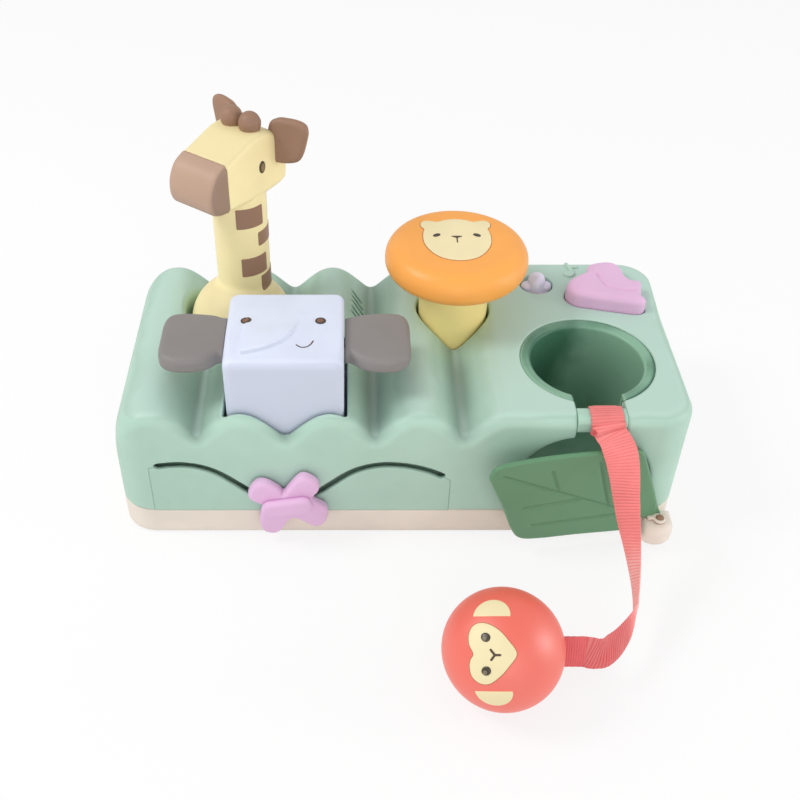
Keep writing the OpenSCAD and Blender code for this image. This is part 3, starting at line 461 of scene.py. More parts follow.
def plastic(name, rgb, rough=0.42, tint=0.03, specular=0.42, soft=0.0, painted_facing_light=None, fade=None, painted_valley_shade=None,
            rim=0.0, ior=1.5):
    """moulded plastic with a fine spark-eroded skin and slight colour drift

    painted_facing_light is a way and the painted light or shade, a colour or its share, of faces that look
    that way, or either way if fade is None;
    painted_valley_shade is two heights and how dark the painted shade makes level ground between them; rim is
    a pale sheen at the edges
    """
    m = Paint(name)
    drift = m.noise(22, 3, 0.55)
    tones = [(0.3, shade(rgb, 1 - tint)), (0.52, rgb), (0.75, shade(rgb, 1 + tint))]
    # painted light or shade: faces that look along the given way get a lighter or darker colour mixed in
    if painted_facing_light:
        way, tone = painted_facing_light
        facing = m.add("ShaderNodeVectorMath", operation="DOT_PRODUCT")
        m.link(m.normal, facing.inputs[0])
        facing.inputs[1].default_value = way
        turn = facing.outputs["Value"]
        if fade is None:
            turn = m.math("ABSOLUTE", turn, 0)
        drift = m.math("SUBTRACT", drift, m.span(turn, *(fade or (0.45, 0.85)), 0, 0.6))
        tones.insert(0, (0.0, tone if isinstance(tone, tuple) else shade(rgb, tone)))
    colour = m.ramp(drift, tones)
    # painted shade: level ground between the two heights is darkened, most at the lower one
    if painted_valley_shade:
        floor_z, brow_z, dark = painted_valley_shade
        depth = m.span(m.upward(m.place), floor_z, brow_z, 1, 0)
        level = m.span(m.upward(m.normal), 0.3, 0.8, 0, 1)
        blend = m.add("ShaderNodeMix", data_type="RGBA", blend_type="MULTIPLY")
        m.link(m.math("MULTIPLY", depth, level), blend.inputs[0])
        m.link(colour, blend.inputs[6])
        blend.inputs[7].default_value = (dark, dark, dark, 1.0)
        colour = blend.outputs[2]
    m.colour(colour)
    m.gloss(m.noise(60, 2, 0.5), 0.25, 0.75, rough - 0.02, rough + 0.03)
    m.bump(m.noise(1900, 2, 0.6), SKIN, 0.6)
    m.set(IOR=ior, Specular_IOR_Level=specular)
    if soft:
        m.set(Subsurface_Weight=soft, Subsurface_Radius=(0.004, 0.004, 0.004))
    if rim:
        m.set(Sheen_Weight=rim, Sheen_Roughness=0.35)
    return m.material


GREEN = (176, 208, 191)
CREAM = (232, 221, 208)
MAT = {
    # painted light on the shell's faces that look up, and painted shade on level ground in the valleys,
    # darkest at 69.2 mm and gone from 76.5 mm up
    "shell": plastic("shell_green", GREEN, 0.46, painted_facing_light=((0.0, 0.0, 1.0), (184, 213, 200)), fade=(0.7, 1.0),
                     painted_valley_shade=(0.0692, 0.0765, 0.66)),
    "panel": plastic("panel_green", shade(GREEN, 0.99), 0.46),
    "base": plastic("base_cream", CREAM, 0.5),
    # painted shade: the cup is darker the more a face looks towards +x, so its left inner wall is darkest
    "cup": plastic("cup_green", (138, 182, 156), 0.4, painted_facing_light=((1.0, 0.0, 0.0), (66, 114, 90)),
                   fade=(-0.6, 0.7)),
    "bar": plastic("bar_green", (172, 207, 188), 0.42),
    "leaf": plastic("leaf_green", (98, 144, 107), 0.4),
    # painted shade: the giraffe's faces that look up or down are darker
    "giraffe": plastic("giraffe_yellow", (252, 236, 181), 0.48, soft=0.05, painted_facing_light=((0.0, 0.0, 1.0), 0.93)),
    "brown": plastic("giraffe_brown", (154, 119, 97), 0.5),
    # painted shade: the muzzle's sides, faces looking either way along (0.809, -0.588, 0), are darker
    "muzzle": plastic("muzzle_brown", (184, 153, 132), 0.5, painted_facing_light=((0.809, -0.588, 0.0), 0.84)),
    # painted shade: the elephant's faces that look to the front or the back are darker
    "elephant": plastic("elephant_blue", (218, 225, 243), 0.44, soft=0.05, painted_facing_light=((0.0, 1.0, 0.0), 0.94)),
    "ears": plastic("ear_grey", (137, 132, 130), 0.5),
    "cap": plastic("cap_orange", (249, 170, 80), 0.4, soft=0.05),
    "stem": plastic("stem_yellow", (253, 231, 156), 0.44),
    "face": plastic("face_cream", (238, 224, 178), 0.5),
    "pink": plastic("button_pink", (228, 186, 220), 0.42, soft=0.05),
    "wing": plastic("wing_pink", (223, 182, 217), 0.44, soft=0.05),
    "ball": plastic("ball_coral", (238, 83, 56), 0.47, tint=0.012, specular=1.0, rim=0.15, ior=1.75),
    "ink": plastic("print_ink", (84, 66, 54), 0.35, tint=0.08),
    "eye": plastic("eye_ink", (70, 62, 50), 0.22, tint=0.08),
    "glint": plastic("eye_glint", (122, 112, 92), 0.3),
    "olive": plastic("eye_olive", (140, 118, 84), 0.3, tint=0.08),
    "iris": plastic("eye_brown", (128, 88, 76), 0.3, tint=0.08),
    "seam": plastic("inlay_seam", (176, 104, 66), 0.5),
}


def metal(name, rgb, rough=0.3):
    """drawn steel with fine lines"""
    m = Paint(name)
    drawn = m.noise(900, 3, 0.6)
    m.colour(m.ramp(drawn, [(0.3, shade(rgb, 0.9)), (0.7, shade(rgb, 1.06))]))
    m.gloss(drawn, 0.3, 0.7, rough - 0.06, rough + 0.1)
    m.bump(drawn, 0.00001, 0.5)
    m.set(Metallic=1.0)
    return m.material


# painted light and painted shade: the ribbon's lit colour where its twist turns up and its shaded colour near
# the ball; the third is the tint of its sheen
RIBBON_PAINTED_LIGHT, RIBBON_PAINTED_SHADE, RIBBON_SHEEN = (255, 186, 182), (222, 76, 84), (255, 205, 200)


def woven(name, rgb):
    """grosgrain ribbon: fine threads along, colour a little uneven, with painted light and shade from a vertex
    attribute
    """
    m = Paint(name)
    threads = m.noise(2600, 2, 0.7)
    # painted light and shade from the ribbon's attribute: darker in the rib grooves, at the sewn fold and near
    # the ball, lighter where the twist turns up
    painted_light_and_shade = m.add("ShaderNodeAttribute", attribute_name="painted_light_and_shade")
    tone = m.math("ADD", m.math("MULTIPLY", threads, 0.3), m.math("MULTIPLY", m.noise(70, 3, 0.6), 0.3))
    tone = m.math("ADD", tone, m.math("MULTIPLY", painted_light_and_shade.outputs["Fac"], 0.4))
    m.colour(m.ramp(tone, [(0.1, RIBBON_PAINTED_SHADE), (0.3, shade(rgb, 0.85)), (0.5, shade(rgb, 0.95)), (0.66, rgb),
                          (0.8, shade(rgb, 1.06)), (1.0, RIBBON_PAINTED_LIGHT)]))
    m.gloss(threads, 0.2, 0.8, 0.6, 0.82)
    m.bump(threads, 0.00008, 0.7)
    m.set(Sheen_Weight=0.35, Sheen_Roughness=0.4, Sheen_Tint=linear(RIBBON_SHEEN), Specular_IOR_Level=0.25)
    return m.material


def frosted(name, rgb):
    """milky light cover"""
    m = Paint(name)
    cloud = m.noise(160, 3, 0.6)
    m.colour(m.ramp(cloud, [(0.3, shade(rgb, 0.96)), (0.7, shade(rgb, 1.05))]))
    m.gloss(cloud, 0.3, 0.7, 0.26, 0.36)
    m.bump(m.noise(1500, 2, 0.6), 0.00001, 0.5)
    m.set(Subsurface_Weight=0.45, Subsurface_Radius=(0.004, 0.004, 0.005), IOR=1.46)
    return m.material


MAT.update({
    "steel": metal("spring_steel", (190, 190, 194)),
    "ribbon": woven("ribbon_coral", (250, 138, 136)),
    "ribbon_dark": woven("ribbon_sewn", (238, 112, 114)),
    "cloud": frosted("light_lilac", (222, 216, 234)),
    "board": plastic("board_green", (60, 104, 74), 0.35),
    "dark": plastic("speaker_black", (52, 52, 56), 0.6),
    "cell": plastic("cell_wrap", (78, 84, 96), 0.3),
    "inner": plastic("inner_white", (220, 220, 216), 0.5),
    "rubber": plastic("dome_rubber", (212, 212, 206), 0.7),
})


# sizes repeated from the solids, in millimetres

HALF_L, FRONT, BACK = 150.0, -70.0, 70.0
CORNER_R, EDGE_R = 18.0, 7.0
BASE_H, WALL = 17.5, 2.5
CREST, DROP, PITCH, VALLEY = 83.0, 14.0, 45.6, -104.6
SHOULDER_X, SHOULDER_R, DECK_X = VALLEY - PITCH / 2, 22.8, VALLEY + 3.5 * PITCH
VALLEY_SOFT = 0.2
EX, EY, BLOCK_TOP, BLOCK_W, HOLE_W = VALLEY + PITCH, -33.0, 113.0, 60.0, 63.2
EAR_Z = BLOCK_TOP - 10
LX, LY, CAP_Z, CAP_R, CAP_T = VALLEY + 3 * PITCH, 25.5, 108.5, 39.0, 18.0
STEM_R, STEM_HOLE = 19.2, 20.6
GX, GY, GZ, DOME_R, DOME_HOLE = VALLEY + 16.6, 32.0, 69.0, 29.0, 30.6
NECK_R, NECK_TOP, NECK_SET, HEAD_TURN, HEAD_W = 14.8, 164.0, -4.5, -126.0, 30.0
CX, CY, CUP_R, RIM_R = 100.5, -22.0, 29.8, 35.5
MOUTH_L, MOUTH_R, SILL = 38.5, 30.5, 10.5
MOUTH_X = CX + (MOUTH_R - MOUTH_L) / 2
BAR_X, BAR_W, BAR_T, BAR_Z, BAR_R = CX + 0.5, 25.0, 11.0, 72.0, 4
BALL, BALL_R, BALL_TILT = (44.8, -168.0, 28.5), 28.5, 36.0
HX, HY, LEAF_OPEN = 139.0, -77.6, 8.0
LIGHT = (82.5, 48.0)
BIRD = (120.0, 37.0)
BIRD_TOP = CREST + 9
SLOT_X, SLOT_Z, SLOT_W = -60.5, BASE_H + 7.8, 4.0
PANEL_X0, PANEL_X1 = -131.0, 27.0
SLOT_X0, SLOT_X1 = -126.5, 22.5
BLOCK_FOOT, STEM_FOOT, DECK_FOOT = 59, 55, CREST - 6
FLANGE_Z0, FLANGE_Z1 = 56, 58.6
NOTE_X, NOTE_Y, NOTE_R, NOTE_W = 102.9, 57.3, 3.2, 1.15
SEAT_R, LIGHT_R, LIGHT_SEAT = 33.0, 6, 9.5
ARCH_H, ARCH_R, ARCH_BACK = 130, 30, -58
LUG_R, LUG_SET, LUG_H = 9.5, 1.4, 13
BAY_X, BAY_Y, BAY_D = 13, -42, 31
SPEAKER_X, SPEAKER_Y, SPEAKER_R = -14.4, 31, 18
CUP_WALL, CUP_TILT, BEVEL_W, BEVEL_H = 2.4, 8, 5.2, 0.9
DOME_LOW, PLUNGER_R, PLUNGER_Z = GZ - 14, 7, 24
FLANGE_W, FLANGE_Y = HOLE_W + 2 * WALL, FRONT + WALL + 0.4
CLOUD_R, PUFF_X, PUFF_R = 5.0, 5.4, 3.4
LENS_LOW, LENS_R, LENS_BORE = CREST - 4.1, 8.8, 3.6
BIRD_LOW, BIRD_LIP, BIRD_PIN_R, BIRD_PIN_Z = CREST - 9, 2.4, 3, 66.6
LEAF_FRONT, LEAF_REAR, LEAF_BORE, VEIN_DEEP, VEIN_W = 2.2, 5.4, 3.6, 1.1, 0.75
GUARD_Y0, GUARD_Y1, GUARD_W, GUARD_DROP = -62.8, -61.2, 5, 5.5
SCREW_R, SCREW_HEAD, SCREW_BOSS = 1.6, 3.1, 4.4
PILL_L, PILL_H, PILL_T = 27.4, 10.6, 4.4
CLEAR = 0.15


# bench shell

def roof(x):
    rise = np.hypot(np.sin(np.pi * (x - VALLEY) / PITCH), VALLEY_SOFT) - VALLEY_SOFT
    wave = CREST - DROP * (1 - rise / (math.hypot(1, VALLEY_SOFT) - VALLEY_SOFT))
    left = CREST - SHOULDER_R + np.sqrt(most(0, SHOULDER_R ** 2 - most(SHOULDER_X - x, 0) ** 2))
    return np.where(x >= DECK_X, CREST, np.where(x <= SHOULDER_X, left, wave))


def lean(x):
    slope = (roof(x + 0.1) - roof(x - 0.1)) / 0.2
    return 1 / np.sqrt(1 + slope * slope)


def bench_body(x, y, z):
    edge = EDGE_R - 4.4 * np.clip((y - 20) / 30, 0, 1) * np.clip((x - DECK_X + 5) / 20, 0, 1)
    return rmax(rect(x, y, 2 * HALF_L, BACK - FRONT, CORNER_R), (z - roof(x)) * lean(x), edge)


TROUGH_R, CREST_IN, CREST_OUT, SLOPE, FLANK = 30.0, 36.0, 54.0, math.radians(41), 14.7
T1 = TROUGH_R * math.sin(SLOPE)
T2 = T1 + FLANK * math.cos(SLOPE)
T3 = T2 + CREST_IN * math.sin(SLOPE)
W1 = TROUGH_R * (1 - math.cos(SLOPE))
W3 = W1 + FLANK * math.sin(SLOPE) + CREST_IN * (1 - math.cos(SLOPE))


def wave(t):
    t = abs(t)
    if t < T1:
        return TROUGH_R - math.sqrt(TROUGH_R ** 2 - t * t)
    if t < T2:
        return W1 + (t - T1) * math.tan(SLOPE)
    if t < T3:
        return W3 - CREST_IN + math.sqrt(CREST_IN ** 2 - (T3 - t) ** 2)
    return W3 - CREST_OUT + math.sqrt(CREST_OUT ** 2 - (t - T3) ** 2)


def slot_edge(off, x0, x1):
    """edge of the wavy slot, off above its middle line"""
    out = []
    for i in range(161):
        t = PANEL_X0 - SLOT_X + (PANEL_X1 - PANEL_X0) * i / 160
        a = math.atan((wave(t + 0.05) - wave(t - 0.05)) / 0.1)
        out.append((min(max(SLOT_X + t - off * math.sin(a), x0), x1), SLOT_Z + wave(t) + off * math.cos(a)))
    return out


SLOT_LINE = slot_edge(0, PANEL_X0, PANEL_X1)
SLOT = [q for q in SLOT_LINE if SLOT_X0 < q[0] < SLOT_X1]
SLOT_BELOW = [(PANEL_X0, 10.0), (PANEL_X1, 10.0)] + SLOT_LINE[::-1]
PANEL = [(PANEL_X0 + 0.06, BASE_H), (PANEL_X1 - 0.06, BASE_H)]
PANEL += slot_edge(-0.06, PANEL_X0 + 0.06, PANEL_X1 - 0.06)[::-1]


def panel_gap(x, z):
    """place of the slider's panel and of its slot, in the front wall"""
    return least(poly(x, z, SLOT_BELOW), stroke_d(x, z, SLOT) - SLOT_W / 2)


def slot_guard(x, z):
    """band that closes the view behind the slot"""
    return stroke_d(x, z + GUARD_DROP, SLOT) - GUARD_W


def at_front(x, y, z, plan, rear=-64.0):
    """a field of the front wall, worked out only there for scattered points"""
    if np.ndim(y) != 1:
        return most(plan(x, z), y - rear)
    out = np.full(x.shape, 20.0)
    near = y < -58
    out[near] = plan(x[near], z[near])
    return most(out, y - rear)


BIRD_LINE = spline([(-22.6, -3), (-20, 4.5), (-14, 9.5), (-8.6, 13.5), (-6.6, 19.6), (1, 22.4), (7.6, 22),
                    (11.6, 17.5), (12.8, 9), (15.4, 4.6), (20.6, 3), (19.6, -4), (18.6, -10), (20, -15.2),
                    (15, -18.2), (2, -15.6), (-10, -12.6), (-18.6, -9.8)], 6)
SLITS = [(-21.9, 46.2, 9.0), (-21.6, 41.0, 10.0), (-21.6, 36.2, 10.0), (-22.4, 31.2, 8.0),
         (-23.4, 27.1, 5.6)]
SLIT_TURN, SLIT_W = -48.0, 1.5
NOTE_STEM = [(105.6, 58.0), (104.4, 62.8), (102.9, 67.6)]
NOTE_FLAG = [(103.4, 66.0), (105.4, 64.4), (108.2, 64.6)]


def shell_field(x, y, z):
    body = bench_body(x, y, z)
    bird = poly(x - BIRD[0], y - BIRD[1], BIRD_LINE)
    cup, light, stem, dome = (np.hypot(x - a, y - b) for a, b in ((CX, CY), LIGHT, (LX, LY), (GX, GY)))
    collar = most(np.abs(x - BAR_X) - BAR_W / 2 - 4, most(y - FRONT - 17, BAR_Z - 1 - z))
    for plan, foot in ((rect(x - EX, y - EY, FLANGE_W, FLANGE_W, 4), BLOCK_FOOT),
                       (stem - (STEM_HOLE + WALL), STEM_FOOT), (dome - (DOME_HOLE + 4), GZ - 7),
                       (bird - 0.4 - WALL, DECK_FOOT), (cup - (RIM_R + WALL), CREST - 7),
                       (light - 11, DECK_FOOT)):
        collar = least(collar, most(plan, foot - z))
    full = least(most(body, -(body + WALL)), most(collar, body))
    full = rmax(full, BASE_H + CLEAR - z, 0.7)
    head = np.hypot(x - NOTE_X, (y - NOTE_Y) * 1.1) - NOTE_R
    note = least(head, least(stroke_d(x, y, NOTE_STEM), stroke_d(x, y, NOTE_FLAG)) - NOTE_W)
    full = rmin(full, rmax(note, slab(z, CREST - 1, CREST + 1.3), 0.55), 0.3)
    cup_hole = least(cup - SEAT_R, most(cup - (RIM_R + CLEAR), CREST - 3 - z))
    light_hole = least(light - LIGHT_R, most(light - LIGHT_SEAT, CREST - 4.2 - z))
    for hole, edge in ((rect(x - EX, y - EY, HOLE_W, HOLE_W, 2.5), 1.3), (stem - STEM_HOLE, 1.3),
                       (dome - (DOME_HOLE + 1.2), 2.6), (bird - 0.45, 0.8), (cup_hole, 0.8),
                       (light_hole, 0.8), (at_front(x, y, z, panel_gap), 0.12)):
        full = cut(full, hole, edge)
    full = least(full, most(at_front(x, y, z, slot_guard, GUARD_Y1), GUARD_Y0 - y))
    arch = rect(x - MOUTH_X, z - 5, MOUTH_L + MOUTH_R, ARCH_H, ARCH_R)
    full = cut(full, most(arch, y - ARCH_BACK), 1.6)
    notch = most(np.abs(x - BAR_X) - BAR_W / 2 - CLEAR, most(y - FRONT - 19, BAR_Z - 4 - z))
    full = cut(full, notch, 0.9)
    for sx, sy, long in SLITS:
        u, v = turned(x - sx, y - sy, SLIT_TURN)
        full = cut(full, most(rect(u, v, long, SLIT_W, SLIT_W / 2), 50 - z), 0.4)
    return full


def panel_field(x, y, z):
    plate = cut(poly(x, z, PANEL), stroke_d(x, z, SLOT) - SLOT_W / 2, 0.3)
    return rmax(plate, slab(y, FRONT, FRONT + WALL), 0.12)


def base_field(x, y, z):
    full = rmax(rect(x, y, 2 * HALF_L, BACK - FRONT, CORNER_R), slab(z, 0, BASE_H), 1.0)
    full = rmax(full, -z, 2.4)
    u, v = x - HX + LUG_SET, y - HY - LUG_SET
    lug = least(disc(u, v, LUG_R), rect(u, y - (FRONT + HY) / 2 - 1, 2 * LUG_R, FRONT - HY + 2))
    full = rmin(full, rmax(lug, slab(z, BASE_H - LUG_H, BASE_H), 4.4), 0.8)
    inside = rect(x, y, 2 * (HALF_L - WALL), BACK - FRONT - 2 * WALL, CORNER_R - WALL)
    full = cut(full, most(inside, WALL - z), 0.6)
    posts = most(disc(x - GX, y - GY, 26), z - BASE_H - 2.5)
    for plan, top in ((disc(x - GX, y - GY, 9), GZ + 5), (np.abs(disc(x - EX, y - EY, 8.9)) - 1.6, 41.5),
                      (disc(x - LX, y - LY, 12), 62), (disc(x - LX, y - LY, 5), 80),
                      (np.abs(disc(x - SPEAKER_X, y - SPEAKER_Y, SPEAKER_R)) - 1.5, 45),
                      (rect(x - BAY_X, y - BAY_Y, 72, BAY_D + 4), 19.5)):
        posts = least(posts, most(plan, z - top))
    full = least(full, most(posts, 1 - z))
    full = cut(full, most(rect(x - BAY_X + 5, y - BAY_Y, 58, BAY_D), z - 17.5), 0.4)
    full = cut(full, most(rect(x - BAY_X - 0.5, y - BAY_Y, 69, BAY_D, 2), z - WALL), 0.4)
    for sx, sy in SCREWS:
        screw = np.hypot(x - sx, y - sy)
        hole = least(screw - SCREW_R, most(screw - SCREW_HEAD, z - BASE_H + 7))
        full = cut(least(full, most(screw - SCREW_BOSS, slab(z, 1, BASE_H - 0.1))), hole, 0.3)
    full = cut(full, most(np.abs(x - MOUTH_X) - 34.5, most(y - FRONT - 3, SILL - z)), 0.8)
    return cut(full, most(disc(x - HX, y - HY, 2.15), BASE_H - 8 - z), 0.3)


SCREWS = [(-138, -58), (-138, 58), (141, -56), (138, 58), (-9.4, 61), (55, -61)]


def chute_plan(x, y, d):
    line = [(CUP_R + d, 0), (-CUP_R - d, 0), (-37 - d, -45), (CUP_R + d, -45)]
    return least(disc(x, y, CUP_R + d), poly(x, y, line))


def chute_field(x, y, z):
    u, v = x - CX, y - CY
    wide = most(chute_plan(u, v, CUP_WALL), slab(z, SILL - CUP_WALL, BAR_Z - CUP_WALL))
    full = least(wide, most(disc(u, v, CUP_R + CUP_WALL), slab(z, SILL, CREST - 1)))
    full = least(full, rmax(disc(u, v, RIM_R), slab(z, CREST - 2.9, CREST), 0.5))
    floor = (SILL + (y + 72) * math.tan(math.radians(CUP_TILT))) - z
    bevel = (np.hypot(u, v) - CUP_R + 0.1 - (z - CREST + BEVEL_H) * BEVEL_W / BEVEL_H) * 0.17
    full = cut(full, most(bevel, CREST - BEVEL_H - z), 0.2)
    inner = least(disc(u, v, CUP_R), most(chute_plan(u, v, 0), z - BAR_Z + 4.8))
    full = cut(full, rmax(inner, floor, 3.0), 1.3)
    notch = most(np.abs(x - BAR_X) - BAR_W / 2 - CLEAR, most(v, BAR_Z - 8 - z))
    full = cut(full, notch, 0.7)
    return rmax(full, FRONT + WALL + 0.6 - y, 0.4)


def bar_field(x, y, z):
    girth = rect(y - FRONT - BAR_T / 2 - 0.2, z - BAR_Z - BAR_T / 2, BAR_T, BAR_T, BAR_R)
    return rmax(girth, np.abs(x - BAR_X) - BAR_W / 2, 0.5)


def light_field(x, y, z):
    u, v = x - LIGHT[0], y - LIGHT[1]
    up = most(z - CREST - 2.4, 0)
    top = np.sqrt(u * u + v * v + up * up) - CLOUD_R
    side = most(z - CREST + 1.0, 0) * 1.2
    for s in (-PUFF_X, PUFF_X):
        top = smin(top, np.sqrt((u - s) ** 2 + (v + 0.6) ** 2 + side * side) - PUFF_R, 1.0)
    full = most(top, LENS_LOW - z)
    full = rmin(full, rmax(disc(u, v, LENS_R), slab(z, LENS_LOW, CREST - 3.1), 0.3), 0.4)
    return cut(full, most(disc(u, v, LENS_BORE), z - CREST - 1.6), 0.3)


# figures

def head_axes(x, y):
    """forwards and sideways from the giraffe's neck"""
    u, v = turned(x - GX, y - GY, HEAD_TURN)
    return u - NECK_SET, v


def giraffe_field(x, y, z):
    u, v = head_axes(x, y)
    ball = np.sqrt((x - GX) ** 2 + (y - GY) ** 2 + (z - GZ) ** 2)
    dome = most(ball - DOME_R, DOME_LOW - z)
    neck = most(disc(u, v, NECK_R), most(GZ + 10 - z, z - NECK_TOP))
    full = rmin(dome, neck, 3.6)
    return rmax(cut(full, ball - DOME_R + WALL, 0.2), DOME_LOW - z, 0.6)


HEAD_SIDE = spline([(-24, -8), (-24.5, 2), (-22, 13), (-15, 20), (-6, 23), (2, 23), (10, 21), (18, 18.6),
                    (25, 16.6), (31, 13.4), (35, 7), (36, 0), (34.5, -5.5), (30, -8.6), (22, -10),
                    (8, -11.6), (-6, -12.2), (-18, -11.6), (-22.5, -10)], 7)
SPLIT_U = 23.2


def skull(x, y, z, out=0.0):
    u, v = head_axes(x, y)
    return rmax(poly(u, z - NECK_TOP, HEAD_SIDE) - out, np.abs(v) - HEAD_W / 2 - out, 3.4), u


def head_field(x, y, z):
    full, u = skull(x, y, z)
    return rmax(full, u - SPLIT_U + 0.05, 0.25)


def muzzle_field(x, y, z):
    full, u = skull(x, y, z, 0.3)
    return rmax(full, SPLIT_U + 0.05 - u, 0.35)


def horn_field(x, y, z):
    u, v = head_axes(x, y)
    out = 1e3
    for s in (-1, 1):
        a = np.hypot(u + 5.8, v - s * 6)
        post = most(a - HORN_R * 0.88, slab(z, NECK_TOP + 19, HORN_Z))
        knob = np.sqrt(a * a + (z - HORN_Z) ** 2) - HORN_R
        out = least(out, smin(post, knob, 2.0))
    return out


HORN_R, HORN_Z = 5.7, NECK_TOP + 26.4
GIRAFFE_EAR = spline([(-5, -11.5), (0, -12.8), (7, -12.2), (12.2, -10.2), (14.8, -6), (16.8, 1), (17.8, 6.5),
                      (16.6, 10.4), (12.5, 12.2), (6, 12.6), (0.5, 11.8), (-4, 7)], 6)


def ear_turn(s):
    """axes of a giraffe ear, as columns"""
    def about(axis, degrees):
        c, q = cosin(degrees)
        m = np.eye(3)
        i, j = [(1, 2), (2, 0), (0, 1)][axis]
        m[i, i] = m[j, j] = c
        m[i, j], m[j, i] = -q, q
        return m
    return about(2, s * 106) @ about(0, 90)


def giraffe_ear_field(s):
    m = ear_turn(s)

    def field(x, y, z):
        u, v = head_axes(x, y)
        p = (u + 16.5, v - s * (HEAD_W / 2 - 0.5), z - NECK_TOP - 15)
        q = [m[0, k] * p[0] + m[1, k] * p[1] + m[2, k] * p[2] for k in range(3)]
        return rmax(poly(q[0], q[1], GIRAFFE_EAR), np.abs(q[2]) - 2.6, 2.4)
    return field


BANDS = []
for top, tall, starts in ((148.5, 12.0, (33, 139, 244)), (132.5, 8.6, (79, 199)),
                          (118.0, 11.7, (38, 139, 239)), (104.5, 9.8, (81, 197))):
    for start in starts:
        BANDS.append((start, start + 62, top - tall, top))


TRUNK = spline([(-21, -22.9), (-14, -21.4), (-7, -18.2), (-1, -13.4), (3.4, -7.2), (6.2, 0), (7.4, 8),
                (5.5, 16), (-4, 20), (-15, 16), (-20.4, 6), (-21, -8), (-21.6, -18)], 6)


def trunk_rise(x, y):
    """height of the raised trunk on the elephant's face: full along its curl, gone towards the forehead"""
    inside = np.clip(-poly(x - EX, y - EY, TRUNK) / 1.2, 0, 1)
    fade = np.clip((13 - (y - EY)) / 24, 0, 1)
    return 2.3 * inside * inside * (3 - 2 * inside) * fade * fade * (3 - 2 * fade)


def block_field(x, y, z):
    u, v = x - EX, y - EY
    edge = 2.8 + 1.8 * np.clip((-v - 8) / 18, 0, 1)
    full = rmax(rect(u, v, BLOCK_W, BLOCK_W, 5), z - BLOCK_TOP - trunk_rise(x, y), edge)
    flange = most(rect(u, v, FLANGE_W, FLANGE_W, 2), slab(z, FLANGE_Z0, FLANGE_Z1))
    flange = most(flange, FLANGE_Y - y)
    full = least(most(full, FLANGE_Z0 - z), flange)
    inner_w = BLOCK_W - 2 * WALL
    full = cut(full, most(rect(u, v, inner_w, inner_w, 4), z - BLOCK_TOP + WALL), 0.4)
    return least(full, most(disc(u, v, PLUNGER_R), slab(z, PLUNGER_Z, BLOCK_TOP - 1)))


EAR_LINE = [(-2, -12), (3, -13.5), (8, -18), (15, -20.5), (26, -20.5), (33, -15), (34, 0), (33, 15.5),
            (26, 20.5), (10, 19.5), (3, 17), (-2, 14)]
EAR_T = 9.5


def elephant_ear_field(s):
    line = spline([(s * a, b) for a, b in EAR_LINE], 6)

    def field(x, y, z):
        u, v = x - EX - s * BLOCK_W / 2, y - EY
        plate = rmax(poly(u, v, line), np.abs(z - EAR_Z) - EAR_T / 2, 3.6)
        plate = rmax(plate, 0.5 - s * u, 0.8)
        peg = most(np.hypot(v, z - EAR_Z) - 2.5, slab(s * u, -2, 3))
        return least(plate, peg)
    return field


def bird_field(x, y, z):
    u, v = x - BIRD[0], y - BIRD[1]
    d = poly(u, v, BIRD_LINE)
    crease = stroke_d(u, v, WING_ARC)
    top = BIRD_TOP - 1.0 * np.exp(-(crease / 0.7) ** 2)
    full = rmax(most(d, BIRD_LOW - z), z - top, 3.8)
    full = least(full, most(d - BIRD_LIP, slab(z, BIRD_LOW, CREST - 6.4)))
    return least(full, most(disc(u, v, BIRD_PIN_R), slab(z, BIRD_PIN_Z, CREST - 8)))


WING_ARC = spline([(-3.3, 9.6), (-2.7, 4.4), (-1.1, -0.7), (1.8, -4.5), (6.5, -6.7), (10.7, -7.3),
                   (15.4, -7.0)], 4, False)
FLY_X, FLY_Z, FLY_Y, WING_T = SLOT_X + 1, SLOT_Z + 3, FRONT - 0.7, 7.0
BUTTERFLY = spline([(-1.4, 8.2), (1.5, 12.5), (6.2, 19), (10.5, 20.5), (16.8, 15.7), (17.2, 10.2),
                    (13.8, 3.7), (20.7, -2.3), (21.7, -6.9), (20, -14.2), (14.4, -16.7), (5.6, -10.9),
                    (1.2, -11.8), (-3.6, -20), (-8.2, -22.2), (-13.1, -20), (-14.9, -13.4), (-14, -6.9),
                    (-12, -1.3), (-18.9, 3.7), (-19.6, 9), (-15.8, 15.2), (-10.4, 16), (-3.5, 11)], 5)


def wings_field(x, y, z):
    full = rmax(poly(x - FLY_X, z - FLY_Z, BUTTERFLY), slab(y, FLY_Y - WING_T, FLY_Y), 2.7)
    return least(full, most(disc(x - SLOT_X, z - SLOT_Z, 1.7), slab(y, FLY_Y - 1, -67.1)))


def pill_field(x, y, z):
    u, w = turned(x - FLY_X - 0.5, z - FLY_Z - 1.5, 10)
    plan = rect(u, w, PILL_L, PILL_H, PILL_H / 2)
    return rmax(plan, slab(y, FLY_Y - WING_T - PILL_T, FLY_Y - WING_T + 0.6), 2.4)


LEAF_LINE = spline([(13.5, -7.6), (22, -8), (45, -7.4), (64, -7.4), (75, -5.6), (80.5, 2), (87, 20),
                    (94, 37), (95.2, 43), (91, 49), (77, 51.5), (58, 52.6), (40, 52.6), (25, 52), (18, 50.4),
                    (15, 46.5), (8, 28), (0.5, 7), (-1.5, 2.5), (-0.5, 0.6), (6, 0.6), (11.5, 0.2),
                    (12.4, -2.5)], 6)
VEINS = [(88.5, 42.7, 14, 5.2), (63, 42.7, 58.2, 28.6), (38.7, 45.7, 29.9, 14.4), (45.7, 20.6, 75.5, 18.1),
         (22, 6.4, 69.7, 4.1)]


